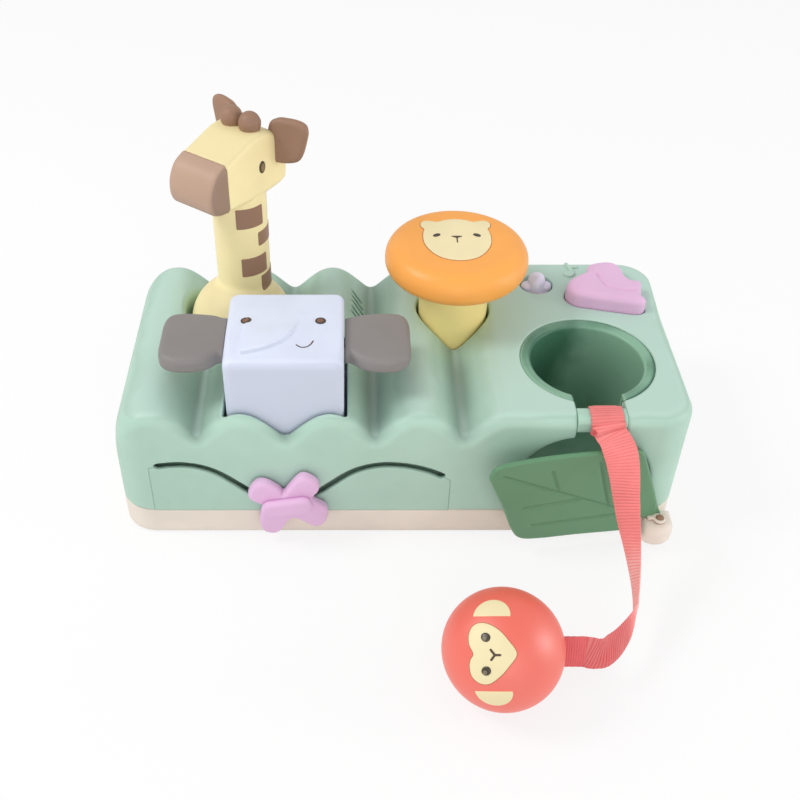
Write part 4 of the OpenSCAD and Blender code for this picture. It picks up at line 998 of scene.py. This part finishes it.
def leaf_field(x, y, z):
    u, v = turned(x - HX, y - HY, LEAF_OPEN)
    w = z - BASE_H
    groove = 0.0
    for a, b, c, d in VEINS:
        groove = most(groove, np.exp(-(stroke_d(-u, w, [(a, b), (c, d)]) / VEIN_W) ** 2))
    full = rmax(poly(-u, w, LEAF_LINE), most(LEAF_FRONT + VEIN_DEEP * groove - v, v - LEAF_REAR), 1.5)
    return cut(full, most(disc(u, v, LEAF_BORE), slab(w, -9, 30)), 0.3)


def knuckle_field(x, y, z):
    u, v = turned(x - HX, y - HY, LEAF_OPEN)
    w = z - BASE_H
    arm = most(slab(u, -6, 0), most(slab(v, 0.4, 3.4), slab(w, 0.4, 2.2)))
    full = rmax(rmin(disc(u, v, 3.2), arm, 0.8), slab(w, 0.4, 2.4), 0.6)
    return cut(full, disc(u, v, 2.05), 0.3)


# pieces

Q = 1.0


def put(ob, paint, body, slot, *nodes):
    """piece with its material, body and the solids it stands for; slot, its finish, is not used"""
    ob.data.materials.append(MAT[paint])
    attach(ob, body)
    if nodes:
        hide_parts(*nodes)
    return ob


def shape(name, field, lo, hi, step, paint, body, slot, *nodes, fine=((), (), ())):
    """piece that fills a field"""
    return put(solid(name, field, lo, hi, step * Q, fine), paint, body, slot, *nodes)


# camera and ribbon first

CAM_F, CAM_PITCH, CAM_SHIFT, PICTURE, SENSOR = 1065.0, 41.0, 52, 800, 36.0
camera = bpy.data.objects.new("camera", bpy.data.cameras.new("camera"))
SCENE.collection.objects.link(camera)
camera.location = (-0.027, -0.4645, 0.439)
camera.rotation_euler = (math.radians(90 - CAM_PITCH), 0, 0)
camera.data.sensor_width = SENSOR
camera.data.lens = SENSOR * CAM_F / PICTURE
camera.data.shift_x = CAM_SHIFT / PICTURE
camera.data.clip_start = 0.01
SCENE.camera = camera

RIBBON_W, RIBBON_T, RIB, GAP = 16.6, 1.0, 1.55, 0.26 * Q
SX0 = BAR_X + BAR_W / 2 - RIBBON_W / 2 - 1.8
SY0 = FRONT + 0.2 - 0.3 - RIBBON_T * 1.5 - 0.05
BX, BY, BZ = BALL
# places along the ribbon, each with the way its width points: off the loop, down the front, up to the ball
ROUTE = [(SX0 + a, SY0 + b, CREST - c, *way) for a, b, c, *way in (
    (0, 0.8, 2.3, 1, 0, 0), (0.5, -0.2, 4.8, 1, 0, 0.01), (1.3, -2.1, 6.2, 1, 0, 0.04))]
ROUTE += [(SX0 + a, FRONT - b, CREST - c, *way) for a, b, c, *way in (
    (2.8, 6.6, 7.2, 0.99, 0, 0.08), (4.1, 11.6, 8.6, 0.96, -0.05, 0.22), (5.3, 16, 11.9, 0.88, -0.22, 0.4),
    (6.6, 20.8, 18.8, 0.76, -0.44, 0.48), (7.5, 25.5, 25.6, 0.64, -0.54, 0.55),
    (8.4, 31.5, 32.5, 0.53, -0.58, 0.62), (9.3, 38, 38.9, 0.41, -0.62, 0.67),
    (10.4, 44.4, 45.4, 0.26, -0.68, 0.68), (11.1, 51.4, 51.3, 0.12, -0.7, 0.7),
    (11.2, 58.8, 56.4, -0.02, -0.62, 0.78), (10.6, 65.3, 59.8, -0.08, -0.4, 0.9),
    (9.4, 71.2, 61.6, -0.06, -0.1, 1), (6.6, 77.4, 62.4, -0.13, 0.08, 1), (2.2, 83.6, 62.6, -0.2, 0.17, 1),
    (-3.2, 89.8, 62.2, -0.24, 0.27, 1), (-8.8, 94.6, 61, -0.22, 0.34, 1))]
ROUTE += [(BX + BALL_R + a, BY + b, BZ - c, *way) for a, b, c, *way in (
    (17, 1.2, 5.2, -0.06, 0.28, 1), (13.6, 0.2, 3.6, 0, 0.28, 1), (10.4, 0, 2.2, 0, 0.3, 0.95),
    (8, 0, 2, 0, 0.342, 0.94))]


def even(line, gap):
    """a line of points taken again at even distances, with the distance of each from the start"""
    far = np.concatenate([[0], np.cumsum(np.linalg.norm(np.diff(line[:, :3], axis=0), axis=1))])
    s = np.linspace(0, far[-1], max(2, int(round(far[-1] / gap)) + 1))
    return np.stack([np.interp(s, far, line[:, k]) for k in range(line.shape[1])], 1), s


def ribbon(name, line, s, half_t, rise, width=RIBBON_W, closed=False, flare=None, shadow=None):
    """woven band along a line of (place, way its width points), with cross ribs of geometry"""
    p, w = line[:, :3], line[:, 3:6]
    d = np.gradient(p, axis=0)
    if closed:
        d = np.roll(p, -1, axis=0) - np.roll(p, 1, axis=0)
    d /= np.linalg.norm(d, axis=1)[:, None]
    w = w - (w * d).sum(1)[:, None] * d
    w /= np.linalg.norm(w, axis=1)[:, None]
    up = np.cross(d, w)
    across = np.array([-1, -0.97, -0.9, -0.6, -0.2, 0.2, 0.6, 0.9, 0.97, 1])
    body = np.array([0.35, 0.8, 0.55, 1, 1, 1, 1, 0.55, 0.8, 0.35])
    ribs = np.array([0, 0.1, 0.1, 1, 1, 1, 1, 0.1, 0.1, 0])
    rings = []
    for k in range(len(p)):
        top = half_t * body + rise[k] * ribs
        swell = 1 + 0.006 * math.sin(2 * math.pi * s[k] / (2 * RIB)) + (0 if flare is None else flare[k])
        edge = width / 2 * swell
        upper = p[k] + across[:, None] * edge * w[k] + top[:, None] * up[k]
        lower = p[k] + across[::-1, None] * edge * w[k] - top[::-1, None] * up[k]
        rings.append(np.concatenate([upper, lower])[::-1])
    ob = loft(name, rings, closed)
    # painted shade: the shadow values go into the ribbon's attribute, by default darker in the grooves between
    # the ribs
    tone = np.ones(len(ob.data.vertices), np.float32)
    if shadow is None:
        shadow = np.clip((rise - rise.min()) / 0.4, 0, 1)
    tone[:len(p) * len(rings[0])] = np.repeat(shadow, len(rings[0]))
    ob.data.attributes.new("painted_light_and_shade", "FLOAT", "POINT").data.foreach_set("value", tone)
    return ob


route, route_s = even(spline(ROUTE, 60, False), GAP)
ribs = np.abs(np.sin(math.pi * route_s / RIB)) ** 0.65
sewn = 1 / (1 + np.exp(np.clip((route_s - 3.6) / 0.1, -40, 40)))
# painted shadow: a dark line across the strap just below the sewn fold, where the rib tone drops to nothing
crease = np.exp(-((route_s - 4.2) / 0.5) ** 2)
strap_rise = (0.46 * ribs + 0.7 * sewn) * np.clip((route_s - 0.4) / 2, 0, 1)
# painted light where the twist turns the band up, 52 to 106 mm along, and painted shade over the last stretch
# by the ball
pale = np.clip((route_s - 52) / 24, 0, 1) * np.clip((106 - route_s) / 8, 0, 1)
painted_end_shade = np.clip((route_s - 102) / 8, 0, 1)
flare = 0.06 * np.exp(-((route_s - 2.8) / 0.9) ** 4)
tones = ribs * (1 - crease) + 0.95 * pale - 0.8 * painted_end_shade
strap = ribbon("strap", route, route_s, 0.34, strap_rise, flare=flare, shadow=tones)
strap.data.materials.append(MAT["ribbon"])
first, last = (tuple(route[int(share * len(route)), :3] * MM) for share in (0.1, 0.9))
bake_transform(strap)
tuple(first)
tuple(last)
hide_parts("strap")

BAR_Y, BAR_MID = FRONT + BAR_T / 2 + 0.2, BAR_Z + BAR_T / 2
LOOP_R = BAR_R + 0.3 + RIBBON_T / 2
loop = []
for q, (sy, sz) in enumerate(((1, 1), (-1, 1), (-1, -1), (1, -1))):
    for c, s in map(cosin, np.linspace(q * 90, q * 90 + 90, 14)):
        y, up = sy * (BAR_T / 2 - BAR_R) + LOOP_R * c, sz * (BAR_T / 2 - BAR_R) + LOOP_R * s
        loop.append((SX0 + 0.2 - 0.11 * up, BAR_Y + y, BAR_MID + up, 1, 0, 0))
loop.append(loop[0])
loop, loop_s = even(np.array(loop), GAP)
loop, loop_s = loop[:-1], loop_s[:-1]
loop_rise = 0.22 * np.abs(np.sin(math.pi * loop_s / (loop_s[-1] / round(loop_s[-1] / RIB)))) ** 0.7
loop_band = ribbon("strap_loop_band", loop, loop_s, 0.38, loop_rise, closed=True)
put(loop_band, "ribbon", "bench", "ribbon_pink", "strap_loop")

eyelet = []
section = np.linspace(0, 2 * math.pi, 13)[:-1]
across = np.array([0, -0.75, 0.66])
for a in np.linspace(0, 2 * math.pi, 25)[:-1]:
    out = np.array([math.cos(a), 0.66 * math.sin(a), 0.75 * math.sin(a)])
    mid = np.array([SX0 - RIBBON_W / 2 + 0.9, SY0 - 1.6, CREST - 6.0]) + 1.15 * out
    eyelet.append([mid + 0.5 * math.cos(b) * out + 1.1 * math.sin(b) * across for b in section])
put(loft("strap_fold", eyelet, True), "ribbon_dark", "bench", "ribbon_pink")

tab_up, tab_back = cosin(20)
tab = [(BX + BALL_R - 2.6 + 12.4 * t, BY, BZ - 2, 0, tab_back, tab_up) for t in np.linspace(0, 1, 60)]
tab, tab_s = even(np.array(tab), GAP / 2)
tab_rise = 0.22 * np.abs(np.sin(math.pi * tab_s / 1.15)) ** 0.6
tab_band = ribbon("strap_tab_band", tab, tab_s, 0.8, tab_rise, RIBBON_W - 0.3)
put(tab_band, "ribbon_dark", "ball", "ribbon_pink", "strap_tab")

# bench

shape("shell", shell_field, (-HALF_L, FRONT, BASE_H), (HALF_L, BACK, CREST + 1), 0.9,
      "shell", "bench", "shell_green", "upper_shell",
      fine=(((-132, -130, 0.3 * Q), (-28, -15, 0.5 * Q), (26, 28, 0.3 * Q), (99, 110, 0.5 * Q)),
            ((22, 52, 0.55 * Q), (53.5, 70.5, 0.5 * Q)), ((80, 84.5, 0.5 * Q),)))
shape("slider_panel", panel_field, (PANEL_X0, FRONT, BASE_H), (PANEL_X1, FRONT + WALL, 58), 0.8,
      "panel", "bench", "shell_green", "front_panel",
      fine=([(end - 1, end + 1, 0.25 * Q) for end in (PANEL_X0, PANEL_X1)], (), ()))
shape("base", base_field, (-HALF_L, -87.2, 0), (HALF_L, BACK, 80), 1.1, "base", "bench", "base_cream",
      "base_tray")
shape("cup", chute_field, (59, FRONT, 8), (137, 14, CREST), 0.85, "cup", "bench", "chute_green",
      "ball_chute")
shape("bar", bar_field, (88.5, FRONT, BAR_Z), (113.5, -58.8, CREST), 0.6,
      "bar", "bench", "shell_green", "strap_bar")
shape("cloud_light", light_field, (LIGHT[0] - 10, LIGHT[1] - 10, CREST - 3),
      (LIGHT[0] + 10, LIGHT[1] + 10, CREST + 8), 0.5, "cloud", "bench", "lens_lavender", "light_cover")

# giraffe

shape("giraffe_body", giraffe_field, (-118, 2, 55), (-58, 62, NECK_TOP), 1.0,
      "giraffe", "giraffe", "giraffe_yellow", "giraffe_dome", "giraffe_neck")
shape("giraffe_skull", head_field, (-125, 0, 150), (-55, 70, 194), 0.8,
      "giraffe", "giraffe", "giraffe_yellow", "giraffe_head")
shape("giraffe_nose", muzzle_field, (-125, -10, 150), (-70, 55, 184), 0.8,
      "muzzle", "giraffe", "muzzle_brown", "giraffe_muzzle")
shape("giraffe_horn_pair", horn_field, (-110, 5, 180), (-60, 60, 203), 0.6,
      "brown", "giraffe", "giraffe_brown", "giraffe_horns")
for side, tag in ((1, "l"), (-1, "r")):
    shape("giraffe_flap_" + tag, giraffe_ear_field(side), (-125, -15, 160), (-35, 85, 204), 0.7,
          "brown", "giraffe", "giraffe_brown", "giraffe_ear_" + tag)


def bands_field(x, y, z):
    u, v = head_axes(x, y)
    turn = np.arctan2(v, u)
    across = 1e3
    for start, stop, low, high in BANDS:
        a = turn - math.radians((start + stop) / 2)
        a = np.arctan2(np.sin(a), np.cos(a))
        wide = math.radians(stop - start) * NECK_R
        across = least(across, rect(a * NECK_R, z - (low + high) / 2, wide, high - low, 0.8))
    skin = giraffe_field(x, y, z)
    return rmax(across, most(skin - 0.28, -skin - 0.8), 0.22)


shape("giraffe_bands", bands_field, (-102, 19, 93), (-69, 53, 149.5), 0.42,
      "brown", "giraffe", "giraffe_brown", "giraffe_spots")


def on_side(s):
    """places on the giraffe's cheek"""
    c, q = cosin(HEAD_TURN)

    def place(u, v, h):
        f, g = u + NECK_SET, s * (HEAD_W / 2 + h)
        return np.stack([GX + f * c - g * q, GY + f * q + g * c, NECK_TOP + v], 1)
    return place


EYE_U, EYE_V = -3.2, 5.0
for side, tag in ((1, "l"), (-1, "r")):
    for part, line, lift, paint in (("eye_", oval(EYE_U, EYE_V, 2.3, 3.4), 0.35, "eye"),
                                    ("iris_", oval(EYE_U - 0.2, EYE_V - 0.3, 1.5, 2.4), 0.5, "olive")):
        put(decal("giraffe_" + part + tag, line[::-side], on_side(side), lift), paint, "giraffe", None)

# elephant

shape("elephant_body", block_field, (EX - 35, EY - 34, PLUNGER_Z), (EX + 35, EY + 35, BLOCK_TOP + 2.2), 0.85,
      "elephant", "elephant", "elephant_white", "elephant_block")
for side, tag in ((-1, "l"), (1, "r")):
    x0, x1 = sorted((EX + side * 27, EX + side * 65))
    shape("elephant_flap_" + tag, elephant_ear_field(side), (x0, EY - 21, EAR_Z - EAR_T / 2),
          (x1, EY + 21, EAR_Z + EAR_T / 2), 0.7, "ears", "elephant", "elephant_grey", "elephant_ear_" + tag)


def on_elephant(u, v, h):
    return np.stack([EX + u, EY + v, BLOCK_TOP + trunk_rise(EX + u, EY + v) + h], 1)


for x, tag in ((-20, "l"), (18, "r")):
    put(decal("elephant_eye_" + tag, oval(x, 5.0, 2.8, 2.7), on_elephant, 0.35), "eye", "elephant", None)
    put(decal("elephant_iris_" + tag, oval(x - 0.2, 4.9, 1.7, 1.6), on_elephant, 0.5), "iris", "elephant",
        None)
smile = spline([(6.4, -14.8), (8.0, -16.3), (9.9, -16.8), (12.0, -16.0), (13.6, -14.1), (14.6, -11.7)], 5,
               False)
put(pen("elephant_smile", smile, 0.75, on_elephant, 0.15), "ink", "elephant", None)

# lion

CAP_LOW, CAP_FLAT, CAP_EDGE = 7, 29, 8
cap = [(3, 0), (14, 0), (26, 0), (CAP_R - CAP_LOW, 0)]
cap += [(CAP_R - CAP_LOW + CAP_LOW * s, CAP_LOW - CAP_LOW * c) for c, s in map(cosin, range(9, 91, 9))]
cap += [(CAP_FLAT + (CAP_R - CAP_FLAT) * c, CAP_EDGE + (CAP_T - CAP_EDGE) * s)
        for c, s in map(cosin, range(0, 91, 5))]
cap += [(r, CAP_T) for r in (24, 14, 8, 3)]
put(lathe("lion_mane", cap, (LX, LY, CAP_Z), 160), "cap", "lion", "lion_orange", "lion_cap")
stem = [(3, 104), (12, 104), (16.2, 104), (16.7, 103.4), (16.7, 52.3), (17, 52), (22.4, 52), (22.6, 52.2),
        (22.6, 54.4), (22.4, 54.6), (19.6, 54.6), (STEM_R, 55), (STEM_R, 70), (STEM_R, 90), (STEM_R, 107.6),
        (19.0, 108.2), (18.4, CAP_Z), (10, CAP_Z), (3, CAP_Z)]
put(lathe("lion_post", stem, (LX, LY, 0), 128), "stem", "lion", "stem_yellow", "lion_stem")
FACE_HALF = [(8, -16.6), (13.6, -11.6), (17.4, -4), (18.4, 3), (18, 9), (17.4, 12.2), (19, 14.8), (19, 18.2),
             (16.8, 20.4), (13.2, 20.2), (10, 19.4), (5.4, 21.4)]
FACE = spline([(0, -18.6)] + FACE_HALF + [(0, 22.2)] + [(-a, b) for a, b in FACE_HALF[::-1]], 6)


def on_lion(u, v, h):
    return np.stack([LX + u, LY + v, CAP_Z + CAP_T + h], 1)


def on_face(u, v, h):
    return on_lion(u, v, h + 0.5)


put(decal("lion_seam", grown(FACE, 0.4), on_lion, 0.12), "seam", "lion", None)
put(decal("lion_mask", FACE, on_lion, 0.5, rim=0.45), "face", "lion", "face_cream", "lion_face")
for x, tag in ((-11, "l"), (10.9, "r")):
    eye = oval(x, 5.4, 2.25, 1.35, 30 if x < 0 else -30)
    put(decal("lion_eye_" + tag, eye, on_face, 0.3), "eye", "lion", None)
nose = spline([(-3.2, 4.4), (-0.2, 4.7), (2.8, 4.4), (1.0, 3.1), (-0.2, 2.7), (-1.4, 3.1)], 5)
put(decal("lion_nose", nose, on_face, 0.2), "ink", "lion", None)
lip = spline([(-0.2, 2.9), (-0.2, 1.0), (-0.2, -1.6)], 4, False)
put(pen("lion_lip", lip, 0.8, on_face, 0.15), "ink", "lion", None)

# bird, butterfly and leaf

shape("bird", bird_field, (BIRD[0] - 26, BIRD[1] - 22, BIRD_PIN_Z),
      (BIRD[0] + 24, BIRD[1] + 26, BIRD_TOP), 0.7, "pink", "bird", "pink", "bird_button")
shape("butterfly", wings_field, (FLY_X - 22, FLY_Y - WING_T, FLY_Z - 23), (FLY_X + 23, -66.5, FLY_Z + 29),
      0.65, "wing", "butterfly", "pink", "butterfly_wings")
shape("butterfly_pill", pill_field, (FLY_X - 15, FLY_Y - WING_T - PILL_T, FLY_Z - 9),
      (FLY_X + 16, FLY_Y - WING_T + 0.6, FLY_Z + 9), 0.6, "wing", "butterfly", "pink", "butterfly_bar")
shape("leaf", leaf_field, (HX - 99, HY - 16, 9), (HX + 6, HY + 8, 71), 0.65,
      "leaf", "leaf", "leaf_green", "leaf_door")
shape("leaf_knuckle", knuckle_field, (HX - 8, HY - 5, BASE_H), (HX + 5, HY + 5, BASE_H + 5), 0.45,
      "base", "leaf", "leaf_green")

peg = [(0.4, 9.8), (1.5, 9.8), (1.95, 10.2), (1.95, 19.4), (1.95, 20.0), (1.7, 20.4), (1.2, 20.6),
       (0.4, 20.6)]
put(lathe("hinge_peg", peg, (HX, HY, 0), 48), "brown", "bench", "pin_brass", "hinge_pin")

# ball

TILT_C, TILT_S = cosin(BALL_TILT)


def ball_frame(p):
    """points of the ball's own frame, face upwards, turned to where the ball lies"""
    x, y, z = p.T
    return np.stack([BX + x, BY + y * TILT_C - z * TILT_S, BZ + y * TILT_S + z * TILT_C], 1)


def ball_half(name, flip):
    inner = BALL_R - WALL
    profile = [(inner * c, max(inner * s, 0.03)) for c, s in map(cosin, np.linspace(84, 0, 22))]
    profile += [(BALL_R - 0.22, 0.03), (BALL_R - 0.07, 0.12)]
    profile += [(BALL_R * c, BALL_R * s) for c, s in map(cosin, np.linspace(0.6, 86, 44))]
    ob = lathe(name, profile, (0, 0, 0), 144)
    co = np.zeros(len(ob.data.vertices) * 3, np.float32)
    ob.data.vertices.foreach_get("co", co)
    p = co.reshape(-1, 3).astype(float) / MM
    if flip:
        p = p * np.array([1, -1, -1])
    ob.data.vertices.foreach_set("co", (ball_frame(p) * MM).astype(np.float32).ravel())
    ob.data.update()
    return ob


put(ball_half("ball_cap_front", False), "ball", "ball", "ball_red", "ball_front")
put(ball_half("ball_cap_back", True), "ball", "ball", "ball_red", "ball_back")


def on_ball(lift):
    def place(u, v, h):
        p = np.stack([u, v, np.sqrt(most(BALL_R ** 2 - u * u - v * v, 1))], 1)
        return ball_frame(p / BALL_R * (BALL_R + lift + h)[:, None])
    return place


HEART = spline([(-16.4, -2), (-18, 2), (-17.9, 6.4), (-16, 10), (-12.6, 11.3), (-8.8, 10.4), (-5, 7.8),
                (-1.6, 3.8), (1.9, -1.9), (-1.4, -7.2), (-5.2, -11.6), (-9.6, -14.8), (-13.6, -14.6),
                (-16.8, -11.8), (-17.9, -7.8), (-17.6, -4.8)], 6)
INLAY = 0.33
put(decal("ball_seam", grown(HEART, 0.32), on_ball(0), 0.1), "seam", "ball", None)
put(decal("ball_mask", HEART, on_ball(0), INLAY), "face", "ball", "face_cream", "ball_face")
for tag, u, v, slant, tall, x0, x1, *node in (("a", -7.7, 14.2, 1.6, 7.3, -15, -0.5, "ball_ears"),
                                              ("b", -7.4, -18.1, 2.0, -6.2, -14.7, -0.2)):
    line = [(u + 7.9 * math.cos(a) + slant * math.sin(a), v + tall * math.sin(a))
            for a in np.linspace(0, math.pi, 33)]
    line += [(x, v) for x in np.linspace(x0, x1, 9)]
    put(decal("ball_ear_" + tag, line, on_ball(0), INLAY), "face", "ball", "face_cream", *node)
for y, tag in ((5.0, "a"), (-9.2, "b")):
    put(decal("ball_eye_" + tag, oval(-11.05, y, 1.95, 1.95), on_ball(INLAY), 0.5, 0.4, 1.2), "eye", "ball",
        None)
    put(decal("ball_glint_" + tag, oval(-11.5, y - 0.55, 1.05, 1.15), on_ball(INLAY), 0.6, 0.1, 0.9),
        "glint", "ball", None)
for k, tip in enumerate(((-5.3, -2.5), (-9.2, -0.3), (-9.0, -4.5))):
    line = np.linspace((-7.5, -2.5), tip, 7)
    put(pen("ball_lip_" + "abc"[k], line, 1.05, on_ball(INLAY), 0.14), "ink", "ball", None)

# inner pieces keep their solids

INNER = {"cloud": "led", "board": "circuit_board", "rubber": "button_dome", "dark": "speaker",
         "cell": "battery_cells", "base": "battery_door", "inner": "gimbal_ring butterfly_retainer",
         "steel": "board_screws battery_contacts door_screw shell_screws gimbal_cross_pin gimbal_side_pins "
                  "giraffe_spring elephant_spring lion_spring lion_screw butterfly_screw"}
for paint, nodes in INNER.items():
    for node in nodes.split():
        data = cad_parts[node].data
        data.materials.clear()
        data.materials.append(MAT[paint])

# floor and light

floor = bpy.data.objects.new("floor", bpy.data.meshes.new("floor"))
FLOOR_Z, FLOOR_GLOW = -0.0002, 0.78
corners = [(x, y, FLOOR_Z) for x, y in ((-3, -2), (3, -2), (3, 4), (-3, 4))]
floor.data.from_pydata(corners, [], [(0, 1, 2, 3)])
SCENE.collection.objects.link(floor)
paper = Paint("paper_floor")
paper.set(Base_Color=(0.9, 0.9, 0.9, 1), Roughness=0.9, Specular_IOR_Level=0.1)
paper.bump(paper.noise(800, 2, 0.5), 0.00002, 0.3)
path = paper.add("ShaderNodeLightPath")
seen = paper.math("MAXIMUM", path.outputs["Is Glossy Ray"], path.outputs["Is Transmission Ray"])
seen = paper.math("MAXIMUM", path.outputs["Is Camera Ray"], seen)
glow = paper.add("ShaderNodeEmission", Strength=1.0)
mix = paper.add("ShaderNodeMixShader")
paper.link(paper.math("MULTIPLY", seen, FLOOR_GLOW), mix.inputs["Fac"])
paper.link(paper.bsdf.outputs["BSDF"], mix.inputs[1])
paper.link(glow.outputs["Emission"], mix.inputs[2])
paper.link(mix.outputs["Shader"], paper.tree.nodes["Material Output"].inputs["Surface"])
floor.data.materials.append(paper.material)

SKY_LIGHT = 0.72
world = bpy.data.worlds.new("studio")
SCENE.world = world
sky = Nodes(world)
back = sky.tree.nodes["Background"]
ray = sky.add("ShaderNodeLightPath")
seen = sky.math("MAXIMUM", ray.outputs["Is Camera Ray"], ray.outputs["Is Transmission Ray"])
sky.link(sky.span(seen, 0, 1, SKY_LIGHT, 1.0), back.inputs["Strength"])
back.inputs["Color"].default_value = (1, 1, 1, 1)


def lamp(name, place, aim, size, power):
    data = bpy.data.lights.new(name, "AREA")
    data.shape = "DISK"
    data.size = size
    data.energy = power
    ob = bpy.data.objects.new(name, data)
    SCENE.collection.objects.link(ob)
    ob.location = place
    ob.rotation_euler = (Vector(aim) - Vector(place)).to_track_quat("-Z", "Y").to_euler()


lamp("key", (-0.85, -0.1, 1.05), (0, -0.02, 0.05), 0.42, 5.6)
lamp("side", (1.15, -0.2, 0.36), (0, -0.05, 0.06), 0.5, 3.0)
lamp("front", (0.1, -1.3, 0.6), (0, 0, 0.06), 1.1, 3.0)

SCENE.view_settings.view_transform = "Standard"
